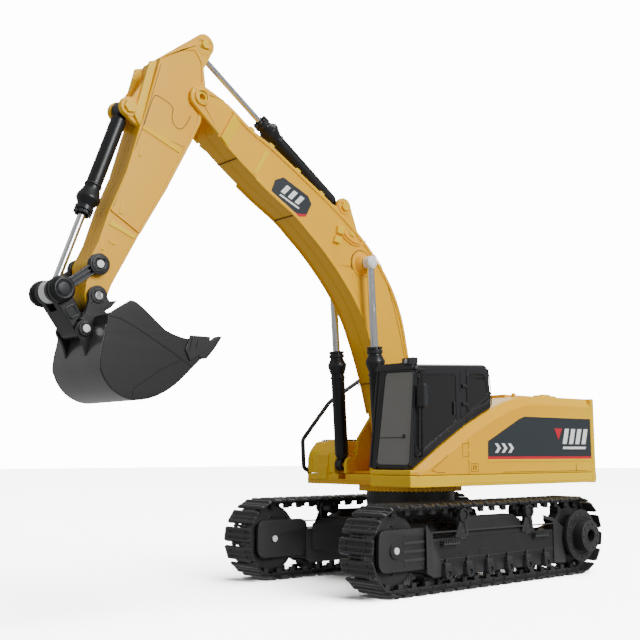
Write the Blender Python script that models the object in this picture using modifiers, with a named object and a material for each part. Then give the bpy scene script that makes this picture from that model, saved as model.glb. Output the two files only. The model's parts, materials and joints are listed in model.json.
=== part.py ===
"""Toy excavator, about 1:18: tracks, slewing house, boom, arm and bucket, as separate pieces.

Lengths are in millimetres; MM turns them into metres where a mesh or an object is made.
X is across the machine (left side, with the cab, at +X), -Y is its front, Z is up.
The side views below are (y, z) outlines; LINE_X is the plane that the boom works in.
"""
import math

import bmesh
import bpy
from mathutils import Matrix, Vector

MM = 0.001
GAP = 0.3                     # between neighbouring pieces

# undercarriage
AXLE_Y = 114.5                # idler axle at -AXLE_Y, sprocket axle at +AXLE_Y
AXLE_Z = 34.0
TRACK_X = 72.6                # middle of each track
SHOE_W = 36.2
BELT_OUT = 34.0               # grouser tips
BELT_PLATE = 32.5             # outside of the shoe plates
BELT_IN = 29.6
SHOES = 44
SPROCKET_TEETH = 12
ROLLER_TOP_R = 5.6
ROLLER_TOP_Z = 57.7
ROLLER_LOW_R = 9.0
ROLLER_TOP_Y = (-40.0, 45.0)
ROLLER_LOW_Y = (-70.0, 56.0)
FRAME_HALF = 12.0             # track frame, half width
FRAME_Z = (11.3, 40.5)

# slew
SLEW_Y = -11.0
POST_R = 38.5
RING_TEETH = 40
PINION_TEETH = 10
GEAR_MODULE = 1.4
PINION_Y = SLEW_Y + GEAR_MODULE * (RING_TEETH - PINION_TEETH) / 2

# house
HOUSE_X = 75.5
DECK_Z = (79.7, 88.9)
DECK_FRONT = -66.0
CAB_DECK_FRONT = -86.0
CAB_STEP_X = 26.5
COVER_REAR = 159.0
REAR_Y = 169.1
ROOF_EDGE_X = 70.0
CAB_X = (26.8, 70.0)

# linkage pivots, (y, z)
LINE_X = -5.6
BOOM_FOOT = (-28.0, 112.0)
BOOM_CYL_BASE = (-65.3, 96.6)
BOOM_EYE = (-76.7, 268.1)
ARM_PIVOT = (-245.9, 375.5)
ARM_CYL_BASE = (-92.7, 317.2)
ARM_EYE = (-242.1, 419.5)
BUCKET_CYL_BASE = (-304.7, 355.6)
LINK_PIVOT = (-328.5, 235.3)
LINK_JOINT = (-355.1, 215.3)
BUCKET_PIVOT = (-328.5, 213.4)
BUCKET_LINK_EYE = (-337.5, 189.9)
CYL_X = 24.0                  # boom cylinders, each side of LINE_X
BOOM_HALF = 13.0
ARM_HALF = 12.0
BUCKET_HALF = 34.5
WALL = 2.4                    # of the moulded shells and the bucket
PIN_R = 2.6                   # linkage pins, and the holes that they turn in
PIN_BORE = 2.9
LINK_BOSS_R = 9.5

# the row's origin is under the middle of the machine's box
SHIFT_Y = -(LINK_JOINT[0] - LINK_BOSS_R + REAR_Y) / 2

YELLOW = ((0.86, 0.50, 0.06), 0.32, 0.0)
BLACK = ((0.022, 0.024, 0.026), 0.38, 0.0)
TRACK_GREY = ((0.035, 0.036, 0.037), 0.5, 0.0)
GREY = ((0.16, 0.16, 0.16), 0.25, 0.0)
STEEL = ((0.62, 0.62, 0.62), 0.22, 1.0)
BRASS = ((0.72, 0.52, 0.22), 0.3, 1.0)
NYLON = ((0.72, 0.71, 0.68), 0.45, 0.0)
GREEN = ((0.02, 0.16, 0.07), 0.45, 0.0)
BLUE = ((0.05, 0.12, 0.35), 0.4, 0.0)

ROUND = 28                    # sides of a large round
SMALL_ROUND = 14


def clear_scene():
    for obj in list(bpy.data.objects):
        bpy.data.objects.remove(obj, do_unlink=True)


clear_scene()
PARTS = bpy.data.collections.new("toy_excavator")
bpy.context.scene.collection.children.link(PARTS)


def material(name, look):
    colour, roughness, metallic = look
    mat = bpy.data.materials.new(name)
    mat.use_nodes = True
    shader = mat.node_tree.nodes["Principled BSDF"]
    shader.inputs["Base Color"].default_value = (*colour, 1.0)
    shader.inputs["Roughness"].default_value = roughness
    shader.inputs["Metallic"].default_value = metallic
    return mat


# ---------------------------------------------------------------- solids

def from_bmesh(bm, name="tool"):
    bmesh.ops.recalc_face_normals(bm, faces=bm.faces)
    mesh = bpy.data.meshes.new(name)
    bm.to_mesh(mesh)
    bm.free()
    obj = bpy.data.objects.new(name, mesh)
    PARTS.objects.link(obj)
    return obj


def block(x, y, z, bevel=0.0):
    """Box between the (low, high) pairs x, y and z."""
    bm = bmesh.new()
    size = Vector((x[1] - x[0], y[1] - y[0], z[1] - z[0])) * MM
    middle = Vector((sum(x), sum(y), sum(z))) * (MM / 2)
    bmesh.ops.create_cube(bm, size=1.0, matrix=Matrix.Translation(middle) @ Matrix.Diagonal((*size, 1)))
    if bevel:
        bmesh.ops.bevel(bm, geom=bm.edges[:], offset=bevel * MM, segments=2, affect="EDGES", profile=0.5)
    return from_bmesh(bm)


def rod_x(x, centre, r, sides=SMALL_ROUND):
    """Cylinder along X between the pair x, on the (y, z) centre."""
    bm = bmesh.new()
    place = Matrix.Translation(Vector((sum(x) / 2, *centre)) * MM) @ Matrix.Rotation(math.pi / 2, 4, "Y")
    bmesh.ops.create_cone(bm, cap_ends=True, segments=sides, radius1=r * MM, radius2=r * MM,
                          depth=(x[1] - x[0]) * MM, matrix=place)
    return from_bmesh(bm)


def rod_z(x, y, z, r, sides=ROUND):
    bm = bmesh.new()
    place = Matrix.Translation(Vector((x, y, sum(z) / 2)) * MM)
    bmesh.ops.create_cone(bm, cap_ends=True, segments=sides, radius1=r * MM, radius2=r * MM,
                          depth=(z[1] - z[0]) * MM, matrix=place)
    return from_bmesh(bm)


def extrude(outline, low, high, holes=(), plane="YZ"):
    """Flat outline given thickness: (y, z) points along X, (x, y) along Z, or (x, z) along Y."""
    curve = bpy.data.curves.new("outline", "CURVE")
    curve.dimensions = "2D"
    curve.fill_mode = "BOTH"
    curve.extrude = (high - low) / 2 * MM
    for loop in (outline, *holes):
        spline = curve.splines.new("POLY")
        spline.points.add(len(loop) - 1)
        for point, (a, b) in zip(spline.points, loop):
            point.co = (a * MM, b * MM, 0, 1)
        spline.use_cyclic_u = True
    flat = bpy.data.objects.new("outline", curve)
    PARTS.objects.link(flat)
    middle = (low + high) / 2 * MM
    turn = {
        "YZ": Matrix(((0, 0, 1, middle), (1, 0, 0, 0), (0, 1, 0, 0), (0, 0, 0, 1))),
        "XY": Matrix(((1, 0, 0, 0), (0, 1, 0, 0), (0, 0, 1, middle), (0, 0, 0, 1))),
        "XZ": Matrix(((1, 0, 0, 0), (0, 0, -1, middle), (0, 1, 0, 0), (0, 0, 0, 1))),
    }[plane]
    graph = bpy.context.evaluated_depsgraph_get()
    mesh = bpy.data.meshes.new_from_object(flat.evaluated_get(graph))
    mesh.transform(turn)
    bpy.data.objects.remove(flat, do_unlink=True)
    bm = bmesh.new()
    bm.from_mesh(mesh)
    bpy.data.meshes.remove(mesh)
    bmesh.ops.remove_doubles(bm, verts=bm.verts, dist=1e-6)
    return from_bmesh(bm)


def loft(sections):
    """Solid through (x, outline) sections that have the same number of (y, z) points."""
    bm = bmesh.new()
    rings = [[bm.verts.new(Vector((x, y, z)) * MM) for y, z in outline] for x, outline in sections]
    count = len(rings[0])
    for near, far in zip(rings, rings[1:]):
        for i in range(count):
            j = (i + 1) % count
            bm.faces.new((near[i], near[j], far[j], far[i]))
    bm.faces.new(rings[0])
    bm.faces.new(rings[-1])
    return from_bmesh(bm)


def turned(profile, start, direction, sides=20):
    """Turned solid: (distance, radius) profile along a line from start; its ends lie on the axis."""
    mesh = bpy.data.meshes.new("profile")
    points = [(r * MM, 0, -d * MM) for d, r in profile]
    mesh.from_pydata(points, [(i, i + 1) for i in range(len(points) - 1)], [])
    obj = bpy.data.objects.new("profile", mesh)
    PARTS.objects.link(obj)
    screw = obj.modifiers.new("turn", "SCREW")
    screw.steps = screw.render_steps = sides
    screw.use_merge_vertices = True
    screw.merge_threshold = 1e-6
    obj.matrix_world = (Matrix.Translation(Vector(start) * MM)
                        @ Vector(direction).to_track_quat("-Z", "X").to_matrix().to_4x4())
    return settle(obj)


def settle(obj):
    """Apply an object's modifiers and its matrix."""
    bpy.context.view_layer.update()
    graph = bpy.context.evaluated_depsgraph_get()
    mesh = bpy.data.meshes.new_from_object(obj.evaluated_get(graph))
    mesh.transform(obj.matrix_world)
    obj.matrix_world = Matrix.Identity(4)
    obj.modifiers.clear()
    obj.data = mesh
    bm = bmesh.new()
    bm.from_mesh(mesh)
    bmesh.ops.remove_doubles(bm, verts=bm.verts, dist=1e-6)
    bmesh.ops.recalc_face_normals(bm, faces=bm.faces)
    bm.to_mesh(mesh)
    bm.free()
    return obj


def combine(body, tools, operation):
    for tool in tools:
        boolean = body.modifiers.new("boolean", "BOOLEAN")
        boolean.operation = operation
        boolean.object = tool
        body = settle(body)
        bpy.data.objects.remove(tool, do_unlink=True)
    return body


def join(body, *tools):
    return combine(body, tools, "UNION")


def cut(body, *tools):
    return combine(body, tools, "DIFFERENCE")


def tube(points, r, resolution=2):
    """Round tube through the points, with filled ends."""
    curve = bpy.data.curves.new("tube", "CURVE")
    curve.dimensions = "3D"
    curve.bevel_depth = r * MM
    curve.bevel_resolution = resolution
    curve.use_fill_caps = True
    spline = curve.splines.new("POLY")
    spline.points.add(len(points) - 1)
    for target, point in zip(spline.points, points):
        target.co = (*(Vector(point) * MM), 1)
    obj = bpy.data.objects.new("tube", curve)
    PARTS.objects.link(obj)
    graph = bpy.context.evaluated_depsgraph_get()
    mesh = bpy.data.meshes.new_from_object(obj.evaluated_get(graph))
    bpy.data.objects.remove(obj, do_unlink=True)
    bm = bmesh.new()
    bm.from_mesh(mesh)
    bpy.data.meshes.remove(mesh)
    bmesh.ops.remove_doubles(bm, verts=bm.verts, dist=1e-6)
    return from_bmesh(bm)


def rounded(points, r, steps=3):
    """Outline with its corners rounded by radius r."""
    out = []
    count = len(points)
    for i, corner in enumerate(points):
        corner = Vector(corner)
        before = (Vector(points[i - 1]) - corner).normalized()
        after = (Vector(points[(i + 1) % count]) - corner).normalized()
        half = before.angle(after) / 2
        reach = r / math.tan(half)
        centre = corner + (before + after).normalized() * (r / math.sin(half))
        start = corner + before * reach - centre
        sweep = math.pi - 2 * half
        side = 1 if before.cross(after) < 0 else -1
        for k in range(steps + 1):
            turn = Matrix.Rotation(side * sweep * k / steps, 2)
            out.append(tuple(centre + turn @ start))
    return out


def arc(centre, r, start, end, steps=8):
    """Points on a circle from one angle to another, in degrees from +y towards +z."""
    out = []
    for k in range(steps + 1):
        angle = math.radians(start + (end - start) * k / steps)
        out.append((centre[0] + r * math.cos(angle), centre[1] + r * math.sin(angle)))
    return out


def circle(centre, r, steps=SMALL_ROUND):
    return arc(centre, r, 0, 360 * (steps - 1) / steps, steps - 1)


def inset(points, distance):
    """The outline moved inwards by a distance; points run anticlockwise."""
    out = []
    count = len(points)
    for i, here in enumerate(points):
        here = Vector(here)
        a = (here - Vector(points[i - 1])).normalized()
        b = (Vector(points[(i + 1) % count]) - here).normalized()
        left = (Vector((-a.y, a.x)) + Vector((-b.y, b.x))).normalized()
        out.append(tuple(here + left * (distance / max(0.35, left.dot(Vector((-a.y, a.x)))))))
    return out


def reflected(obj, x):
    """Copy of a finished solid, mirrored in the plane at x."""
    mesh = obj.data.copy()
    mesh.transform(Matrix.Translation((2 * x * MM, 0, 0)) @ Matrix.Diagonal((-1, 1, 1, 1)))
    bm = bmesh.new()
    bm.from_mesh(mesh)
    bpy.data.meshes.remove(mesh)
    return from_bmesh(bm)


def tidy(obj):
    """Merge the flat faces that Booleans leave in strips."""
    bm = bmesh.new()
    bm.from_mesh(obj.data)
    bmesh.ops.dissolve_limit(bm, angle_limit=0.003, verts=bm.verts, edges=bm.edges)
    bmesh.ops.triangulate(bm, faces=[f for f in bm.faces if len(f.verts) > 4])
    bm.to_mesh(obj.data)
    bm.free()


def name_part(obj, name, look, parent, angle=35):
    """Give a finished solid its name, material, shading and place under its joint's empty."""
    tidy(obj)
    obj.name = name
    obj.data.name = name
    obj.data.materials.clear()
    obj.data.materials.append(material(name, look))
    obj.data.shade_smooth()
    obj.data.set_sharp_from_angle(angle=math.radians(angle))
    obj.data.transform(Matrix.Translation(-parent["at"]))
    obj.parent = parent["empty"]
    return obj


def joint(name, at, parent=None):
    """Empty on a joint's axis; at is in millimetres in the machine's own frame."""
    empty = bpy.data.objects.new(name, None)
    PARTS.objects.link(empty)
    at = Vector(at) * MM
    if parent is None:
        empty.location = at
    else:
        empty.parent = parent["empty"]
        empty.location = at - parent["at"]
    return {"empty": empty, "at": at}


# ---------------------------------------------------------------- joints

def line(point, x=0.0):
    """A linkage point as (x, y, z), x measured from the linkage's plane."""
    return (LINE_X + x, *point)


ORIGIN = joint("machine", (0, 0, 0))
ORIGIN["empty"].location = (0, SHIFT_Y * MM, 0)
HOUSE = joint("slew_axis", (0, SLEW_Y, 0), ORIGIN)
PINION = joint("pinion_axis", (0, PINION_Y, 0), HOUSE)
BOOM = joint("boom_axis", line(BOOM_FOOT), HOUSE)
BOOM_BARRELS = joint("boom_barrel_axis", line(BOOM_CYL_BASE), HOUSE)
BOOM_RODS = joint("boom_rod_axis", line(BOOM_EYE), BOOM)
ARM_BARREL = joint("arm_barrel_axis", line(ARM_CYL_BASE), BOOM)
ARM = joint("arm_axis", line(ARM_PIVOT), BOOM)
ARM_ROD = joint("arm_rod_axis", line(ARM_EYE), ARM)
BUCKET_BARREL = joint("bucket_barrel_axis", line(BUCKET_CYL_BASE), ARM)
LINKS = joint("side_link_axis", line(LINK_PIVOT), ARM)
BUCKET_ROD = joint("bucket_rod_axis", line(LINK_JOINT), LINKS)
BUCKET = joint("bucket_axis", line(BUCKET_PIVOT), ARM)
BUCKET_LINK = joint("bucket_link_axis", line(BUCKET_LINK_EYE), BUCKET)


# ---------------------------------------------------------------- undercarriage

POST_TOP = 75.4
CARRIER_Z = (22.0, 50.0)
RING_Z = (60.0, 70.0)


def carrier_frame():
    reach = TRACK_X - FRAME_HALF - GAP
    half = [(reach, -74), (reach, -36), (42, -20), (42, 0), (reach, 20), (reach, 60), (30, 52)]
    plan = [(30, -58)] + half
    plan += [(-x, y) for x, y in reversed(plan)]
    body = extrude(plan, *CARRIER_Z, plane="XY")
    bm = bmesh.new()
    bm.from_mesh(body.data)
    bmesh.ops.dissolve_limit(bm, angle_limit=0.01, verts=bm.verts, edges=bm.edges)
    top = [e for e in bm.edges if all(v.co.z > (CARRIER_Z[1] - 1) * MM for v in e.verts)]
    bmesh.ops.bevel(bm, geom=top, offset=5 * MM, segments=1, affect="EDGES")
    bm.to_mesh(body.data)
    bm.free()
    post = rod_z(0, SLEW_Y, (45, POST_TOP), POST_R, 40)
    collar = turned([(0, 0), (0, 48), (4, 44), (4, 0)], (0, SLEW_Y, 48), (0, 0, 1), 40)
    body = join(body, collar, post)
    bore = rod_z(0, SLEW_Y, (58, 80), 33.0, 40)
    cavity = block((-28, 28), (-44, 34), (10, 44))
    name_part(cut(body, bore, cavity), "carrier_frame", BLACK, ORIGIN)


def battery():
    name_part(block((-26, 26), (-42, 32), (23, 42), 1.5), "battery_pack", BLUE, ORIGIN)
    cover = block((-31, 31), (-47, 37), (19.8, 21.7))
    ribs = [block((-24, 24), (y, y + 3), (18.9, 20.2)) for y in (-30, -18, -6, 6, 18)]
    name_part(join(cover, *ribs), "battery_cover", BLACK, ORIGIN)


def gear_outline(centre, teeth, pitch_r, root_r, tip_r, thickness, phase):
    """Straight-sided teeth; thickness is a tooth's width at the pitch circle."""
    step = math.tau / teeth
    half = thickness / pitch_r / 2
    slope = 0.55 * half
    points = []
    for i in range(teeth):
        at = phase + i * step
        for angle, r in ((-half - slope, root_r), (-half + slope, tip_r), (half - slope, tip_r),
                         (half + slope, root_r)):
            points.append((centre[0] + r * math.cos(at + angle), centre[1] + r * math.sin(at + angle)))
    return points


def slew_gears():
    pitch = GEAR_MODULE * RING_TEETH / 2
    half_tooth = math.pi / RING_TEETH
    teeth = gear_outline((0, SLEW_Y), RING_TEETH, pitch, pitch + 1.6, pitch - 1.0, 1.6,
                         math.pi / 2 + half_tooth)
    ring = extrude(circle((0, SLEW_Y), 32.7, 40), *RING_Z, holes=(teeth,), plane="XY")
    name_part(ring, "ring_gear", NYLON, ORIGIN)
    pitch = GEAR_MODULE * PINION_TEETH / 2
    teeth = gear_outline((0, PINION_Y), PINION_TEETH, pitch, pitch - 1.6, pitch + 1.0, 1.4, math.pi / 2)
    pinion = extrude(teeth, RING_Z[0] + 0.5, RING_Z[1] - 0.5, plane="XY")
    shaft = rod_z(0, PINION_Y, (RING_Z[1] - 2, 100), 2.0, SMALL_ROUND)
    name_part(join(pinion, shaft), "slew_pinion", BRASS, PINION)


def track_belt(side, name):
    """One closed belt of shoes: each shoe is a flat plate with two low grousers."""
    length = 2 * AXLE_Y
    radius = (BELT_OUT + BELT_IN) / 2
    total = 2 * length + math.tau * radius
    pitch = total / SHOES

    def place(s, r):
        """Point at distance s round the belt, r from the axle line."""
        s %= total
        if s < length:
            return (-AXLE_Y + s, AXLE_Z - r)
        s -= length
        if s < math.pi * radius:
            angle = s / radius - math.pi / 2
            return (AXLE_Y + r * math.cos(angle), AXLE_Z + r * math.sin(angle))
        s -= math.pi * radius
        if s < length:
            return (AXLE_Y - s, AXLE_Z + r)
        angle = (s - length) / radius + math.pi / 2
        return (-AXLE_Y + r * math.cos(angle), AXLE_Z + r * math.sin(angle))

    shoe = ((0.02, BELT_IN + 1.6), (0.06, BELT_PLATE), (0.14, BELT_OUT), (0.24, BELT_OUT),
            (0.32, BELT_PLATE),
            (0.80, BELT_PLATE), (0.86, BELT_OUT), (0.94, BELT_OUT), (0.98, BELT_IN + 1.6))
    outer = [place((i + part) * pitch, r) for i in range(SHOES) for part, r in shoe]
    inner = [place(i * pitch / 2, BELT_IN) for i in range(2 * SHOES)]
    middle = side * TRACK_X
    belt = extrude(outer, middle - SHOE_W / 2, middle + SHOE_W / 2, holes=(inner,))
    name_part(belt, name, TRACK_GREY, ORIGIN)


def across(side, low, high):
    """The X range from low to high, measured outwards from one track's middle."""
    ends = (side * (TRACK_X + low), side * (TRACK_X + high))
    return min(ends), max(ends)


def track_frame(side, name):
    z0, z1 = FRAME_Z
    front, rear = -80.0, 95.0
    body = extrude([(front, z0 + 3), (front + 4, z0), (rear - 6, z0), (rear, z0 + 6), (rear, z1),
                    (front, z1)],
                   *across(side, -FRAME_HALF, FRAME_HALF))
    ridge = bmesh.new()
    for half, y, z in ((FRAME_HALF - 0.4, (-52, 58), z1 - 0.5), (5, (-28, 33), 55.5)):
        for x in (-half, half):
            for value in y:
                ridge.verts.new(Vector((side * (TRACK_X + x), value, z)) * MM)
    bmesh.ops.convex_hull(ridge, input=ridge.verts)
    add = [from_bmesh(ridge)]
    centre = (-AXLE_Y, AXLE_Z)
    yoke = rounded([(-132, 18.2), (front + 3, 18.2), (front + 3, 49.6), (-132, 49.6)], 7)
    for x in ((-9.8, -6.4), (6.4, 9.8)):
        add.append(extrude(yoke, *across(side, *x)))
    add.append(block(across(side, -9.8, 9.8), (front - 2.5, front + 6), (18.6, z1 - 1)))
    drive_arm = rounded([(rear - 8, 20), (AXLE_Y + 13, 20), (AXLE_Y + 13, 48), (rear - 8, 40)], 6)
    add.append(extrude(drive_arm, *across(side, -FRAME_HALF + 0.2, -7)))
    for y in ROLLER_TOP_Y:
        add.append(block(across(side, 8.4, 12.6), (y - 4, y + 4), (z1 - 2, 57)))
        add.append(rod_x(across(side, 8.2, 13.0), (y, ROLLER_TOP_Z), 4.1))
    for i in range(6):
        y = -62 + i * 25.6
        add.append(extrude([(y - 3.4, 13.2)] + arc((y, 13.2), 3.4, 180, 360, 6) + [(y + 3.4, 22),
            (y - 3.4, 22)],
                           *across(side, 10.6, 15.6)))
    for y in (-68, 49):
        add.append(block(across(side, 11, 17.0), (y, y + 19), (35.6, 37.2)))
    body = join(body, *add)
    holes = [rod_x(across(side, -12, 12), centre, 2.8),
             rod_x(across(side, -14, -5), (AXLE_Y, AXLE_Z), 4.3),
             block(across(side, -5.8, 5.8), (80, 100), (0, 60)),
             block(across(side, -14, 9.2), (36, 78), (23.6, 39.2))]
    holes += [rod_x(across(side, 4, 15), (y, ROLLER_TOP_Z), 1.9, 10) for y in ROLLER_TOP_Y]
    for y in ROLLER_LOW_Y:
        holes.append(block(across(side, -5.6, 5.6), (y - 9.8, y + 9.8), (0, 24)))
        holes.append(rod_x(across(side, -9.2, 9.2), (y, low_roller_z()), 1.9, 10))
    name_part(cut(body, *holes), name, BLACK, ORIGIN)


def low_roller_z():
    return AXLE_Z - BELT_IN + GAP + ROLLER_LOW_R


def idler(side, name, axis):
    wheel = turned([(0, 0), (0, 7), (1.4, 7), (1.4, 21.5), (1.4, 25), (2.6, 28.2), (3.4, BELT_IN - GAP),
                    (8.6, BELT_IN - GAP), (9.4, 28.2), (10.6, 25), (10.6, 21.5), (10.6, 7), (12, 7), (12,
                        0)],
                   (side * TRACK_X - 6, -AXLE_Y, AXLE_Z), (1, 0, 0), 32)
    bore = rod_x(across(side, -8, 8), (-AXLE_Y, AXLE_Z), 2.8)
    name_part(cut(wheel, bore), name, TRACK_GREY, axis)


def idler_axle(side, name):
    shaft = rod_x(across(side, -10.6, 10.6), (-AXLE_Y, AXLE_Z), 2.5)
    name_part(shaft, name, STEEL, ORIGIN)


def sprocket(side, name, axis):
    """Toothed drive wheel with the bolted final-drive cover on its outer side."""
    centre = (AXLE_Y, AXLE_Z)
    teeth = gear_outline(centre, SPROCKET_TEETH, 27, 24.5, BELT_IN - GAP, 4.6, 0)
    wheel = extrude(teeth, *across(side, -4.6, 4.6))
    drum = rod_x(across(side, -6.4, 15.2), centre, 18, 32)
    disc = rod_x(across(side, 15, 18), centre, 22, 32)
    hub = rod_x(across(side, 17, 28), centre, 13.5, 28)
    shaft = rod_x(across(side, -11.5, -6), centre, 4.0)
    wheel = join(wheel, drum, disc, hub, shaft)
    hole = rod_x(across(side, 20, 30), centre, 5.4, 16)
    name_part(cut(wheel, hole), name, TRACK_GREY, axis)


def roller(side, centre, r, half, shaft_r, shaft, name, axis):
    wheel = rod_x(across(side, -half, half), centre, r, 20)
    pin = rod_x(across(side, *shaft), centre, shaft_r, 10)
    name_part(join(wheel, pin), name, TRACK_GREY, axis)


def drive_motor(side, name):
    can = rod_x(across(side, -10, 8.6), (57, 31.4), 7.2, 20)
    gearbox = block(across(side, -10.5, -2), (40, 74), (24.4, 38.2))
    name_part(join(gearbox, can), name, STEEL, ORIGIN)


def tracks():
    for side, label in ((1, "left"), (-1, "right")):
        middle = side * TRACK_X
        front = joint("idler_axis_" + label, (middle, -AXLE_Y, AXLE_Z), ORIGIN)
        rear = joint("sprocket_axis_" + label, (middle, AXLE_Y, AXLE_Z), ORIGIN)
        track_belt(side, "track_belt_" + label)
        track_frame(side, "track_frame_" + label)
        idler(side, "idler_" + label, front)
        idler_axle(side, "idler_axle_" + label)
        sprocket(side, "sprocket_" + label, rear)
        drive_motor(side, "drive_motor_" + label)
        for y, place in zip(ROLLER_TOP_Y, ("front", "rear")):
            centre = (y, ROLLER_TOP_Z)
            axis = joint("carrier_axis_" + place + "_" + label, (middle, *centre), ORIGIN)
            roller(side, centre, ROLLER_TOP_R, 4.8, 1.5, (4, 12.6),
                   "carrier_roller_" + place + "_" + label, axis)
        for y, place in zip(ROLLER_LOW_Y, ("front", "rear")):
            centre = (y, low_roller_z())
            axis = joint("bottom_axis_" + place + "_" + label, (middle, *centre), ORIGIN)
            roller(side, centre, ROLLER_LOW_R, 4.8, 1.5, (-8.8, 8.8),
                   "bottom_roller_" + place + "_" + label, axis)


# ---------------------------------------------------------------- house

UPPER = [(-80.6, 93.6), (-48, 112.6), (-16, 129.9), (18.2, 145.0), (40, 152.4), (56.7, 156.4), (70, 157.6)]
ROOF_Z = 158.0


def deck():
    x = HOUSE_X
    plan = [(-x, DECK_FRONT), (CAB_STEP_X, DECK_FRONT), (CAB_STEP_X, CAB_DECK_FRONT),
            (x - 4, CAB_DECK_FRONT),
            (x, CAB_DECK_FRONT + 10), (x, COVER_REAR), (-x, COVER_REAR)]
    holes = [[(LINE_X + s * CYL_X + a, b) for a,
              b in ((-4.4, -80), (4.4, -80), (4.4, -56), (-4.4, -56))] for s in (-1, 1)]
    body = extrude(plan, *DECK_Z, plane="XY")
    skirt = rod_z(0, SLEW_Y, (74.6, 81), 45, 40)
    body = join(body, skirt)
    tools = [extrude(hole, 84.0, 100, plane="XY") for hole in holes]
    tools.append(rod_z(0, SLEW_Y, (70, DECK_Z[0] + 0.6), 39.1, 40))
    tools.append(rod_z(0, PINION_Y, (70, 100), 9.5, 20))
    name_part(cut(body, *tools), "deck", YELLOW, HOUSE)


def cover_sections(upper, front):
    """Side cover: full height up to the roof's edge, then sloping out and down to the side face."""
    bottom = DECK_Z[1] + GAP
    rear = COVER_REAR
    high = [(front, bottom)] + upper + [(rear, ROOF_Z), (rear, bottom)]
    low = [(front, bottom)] + [(y + 1.5, max(bottom + 0.6, z - 7.8)) for y,
                               z in upper] + [(rear, ROOF_Z - 8), (rear, bottom)]
    return high, low


def side_covers():
    high, low = cover_sections(UPPER, UPPER[0][0] - 1)
    left = loft([(66.5, high), (ROOF_EDGE_X, high), (HOUSE_X, low)])
    pocket = extrude([(-58, 92), (-16, 117), (18, 132.5), (56, 145.5), (156, 146.5), (156, 92)], 60,
                     HOUSE_X - WALL)
    sill = extrude([(CAB_STEP_X, CAB_DECK_FRONT + 0.3), (HOUSE_X - 4, CAB_DECK_FRONT + 0.3),
                    (HOUSE_X, CAB_DECK_FRONT + 10), (HOUSE_X, -70), (CAB_STEP_X, -70)],
                   DECK_Z[1] + GAP, 93.3, plane="XY")
    name_part(join(cut(left, pocket), sill), "side_cover_left", YELLOW, HOUSE)
    rise = [(20.0, 117.0), (20.4, 146.0)] + UPPER[4:]
    high, low = cover_sections(rise, 20.0)
    right = loft([(-66.5, high), (-ROOF_EDGE_X, high), (-HOUSE_X, low)])
    pocket = extrude([(24, 92), (24, 134), (56, 145.5), (156, 146.5), (156, 92)], -HOUSE_X + WALL, -60)
    name_part(cut(right, pocket), "side_cover_right", YELLOW, HOUSE)


def engine_cover():
    wall = 2.6
    bottom = DECK_Z[1] + GAP
    outer = [(20, bottom), (20, 145.6)] + UPPER[4:] + [(COVER_REAR - GAP, ROOF_Z)]
    inner = [(COVER_REAR - GAP, ROOF_Z - wall), (70, ROOF_Z - wall - 0.4), (40, 149.4),
             (20 + wall, 143.6), (20 + wall, bottom)]
    half = 66.5 - GAP
    cover = extrude(outer + inner, -half, half)
    plates = [block((-52, -12), (62, 120), (ROOF_Z - 1, ROOF_Z + 1.6)),
              block((2, 50), (62, 100), (ROOF_Z - 1, ROOF_Z + 1.6)),
              block((2, 50), (106, 146), (ROOF_Z - 1, ROOF_Z + 1.2))]
    pipe = rod_z(-32, 136, (ROOF_Z - 1, ROOF_Z + 9), 4.5, SMALL_ROUND)
    name_part(join(cover, *plates, pipe), "engine_cover", YELLOW, HOUSE)


def counterweight():
    x = HOUSE_X
    rear = REAR_Y
    front = COVER_REAR + GAP
    plan = [(-x, front), (x, front), (x, rear - 4.5), (x - 3, rear - 1.2), (x - 12, rear),
            (-x + 12, rear), (-x + 3, rear - 1.2),
            (-x, rear - 4.5)]
    block_out = extrude(plan, DECK_Z[0] - 0.3, ROOF_Z, plane="XY")
    slope = extrude([(rear - 3.5, 168), (rear + 4, 168), (rear + 4, 146)], -90, 90)
    body = cut(block_out, slope)
    ballast = block((-58, 58), (132, front + 2), (DECK_Z[1] + 1, 148), 1.0)
    name_part(join(body, ballast), "counterweight", YELLOW, HOUSE)


def tool_box():
    bottom = DECK_Z[1] + GAP
    side = [(DECK_FRONT + 0.6, bottom), (DECK_FRONT + 0.6, 104.5), (-63, 109.5), (-56, 116.6),
            (-52, 117.4), (-8, 118), (2, 122),
            (19.7, 138), (19.7, bottom)]
    box = extrude(side, -HOUSE_X, -37.4)
    pocket = extrude([(-62, 80), (-62, 103), (-54, 113.5), (-8, 114.5), (2, 118.5), (16, 132), (16, 80)],
                     -HOUSE_X + WALL, -39.8)
    name_part(cut(box, pocket), "tool_box", YELLOW, HOUSE)


def cab():
    bottom = 93.6
    side = [(-82.7, bottom), (18.6, bottom), (19.4, 154), (16.4, 178.6), (12.6, 182.6), (-73.5, 178.0),
            (-77.4, 174.6)]
    shell = loft([(CAB_X[0], inset(side, 1.2)), (CAB_X[0] + 1.2, side), (CAB_X[1] - 4, side),
                  (CAB_X[1] - 0.2, inset(side, 1.4))])
    room = extrude([(-79.6, 90), (15.8, 90), (16.4, 152), (13.6, 176), (-72, 174.4), (-75, 172)],
                   CAB_X[0] + WALL, CAB_X[1] - 2.6)
    under = [(y - 0.4, z + 0.5) for y, z in UPPER[:4]] + [(40, 153)]
    corner = extrude(under + [(40, 80), (-95, 80), (-95, 85)], 66.5 - GAP, 80)
    name_part(cut(shell, room, corner), "cab_shell", BLACK, HOUSE)


def lean(obj, foot, degrees):
    """Turn a finished solid about the X line through the (y, z) foot."""
    centre = Vector((0, *foot)) * MM
    obj.data.transform(Matrix.Translation(centre) @ Matrix.Rotation(math.radians(degrees), 4, "X")
                       @ Matrix.Translation(-centre))
    return obj


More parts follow.
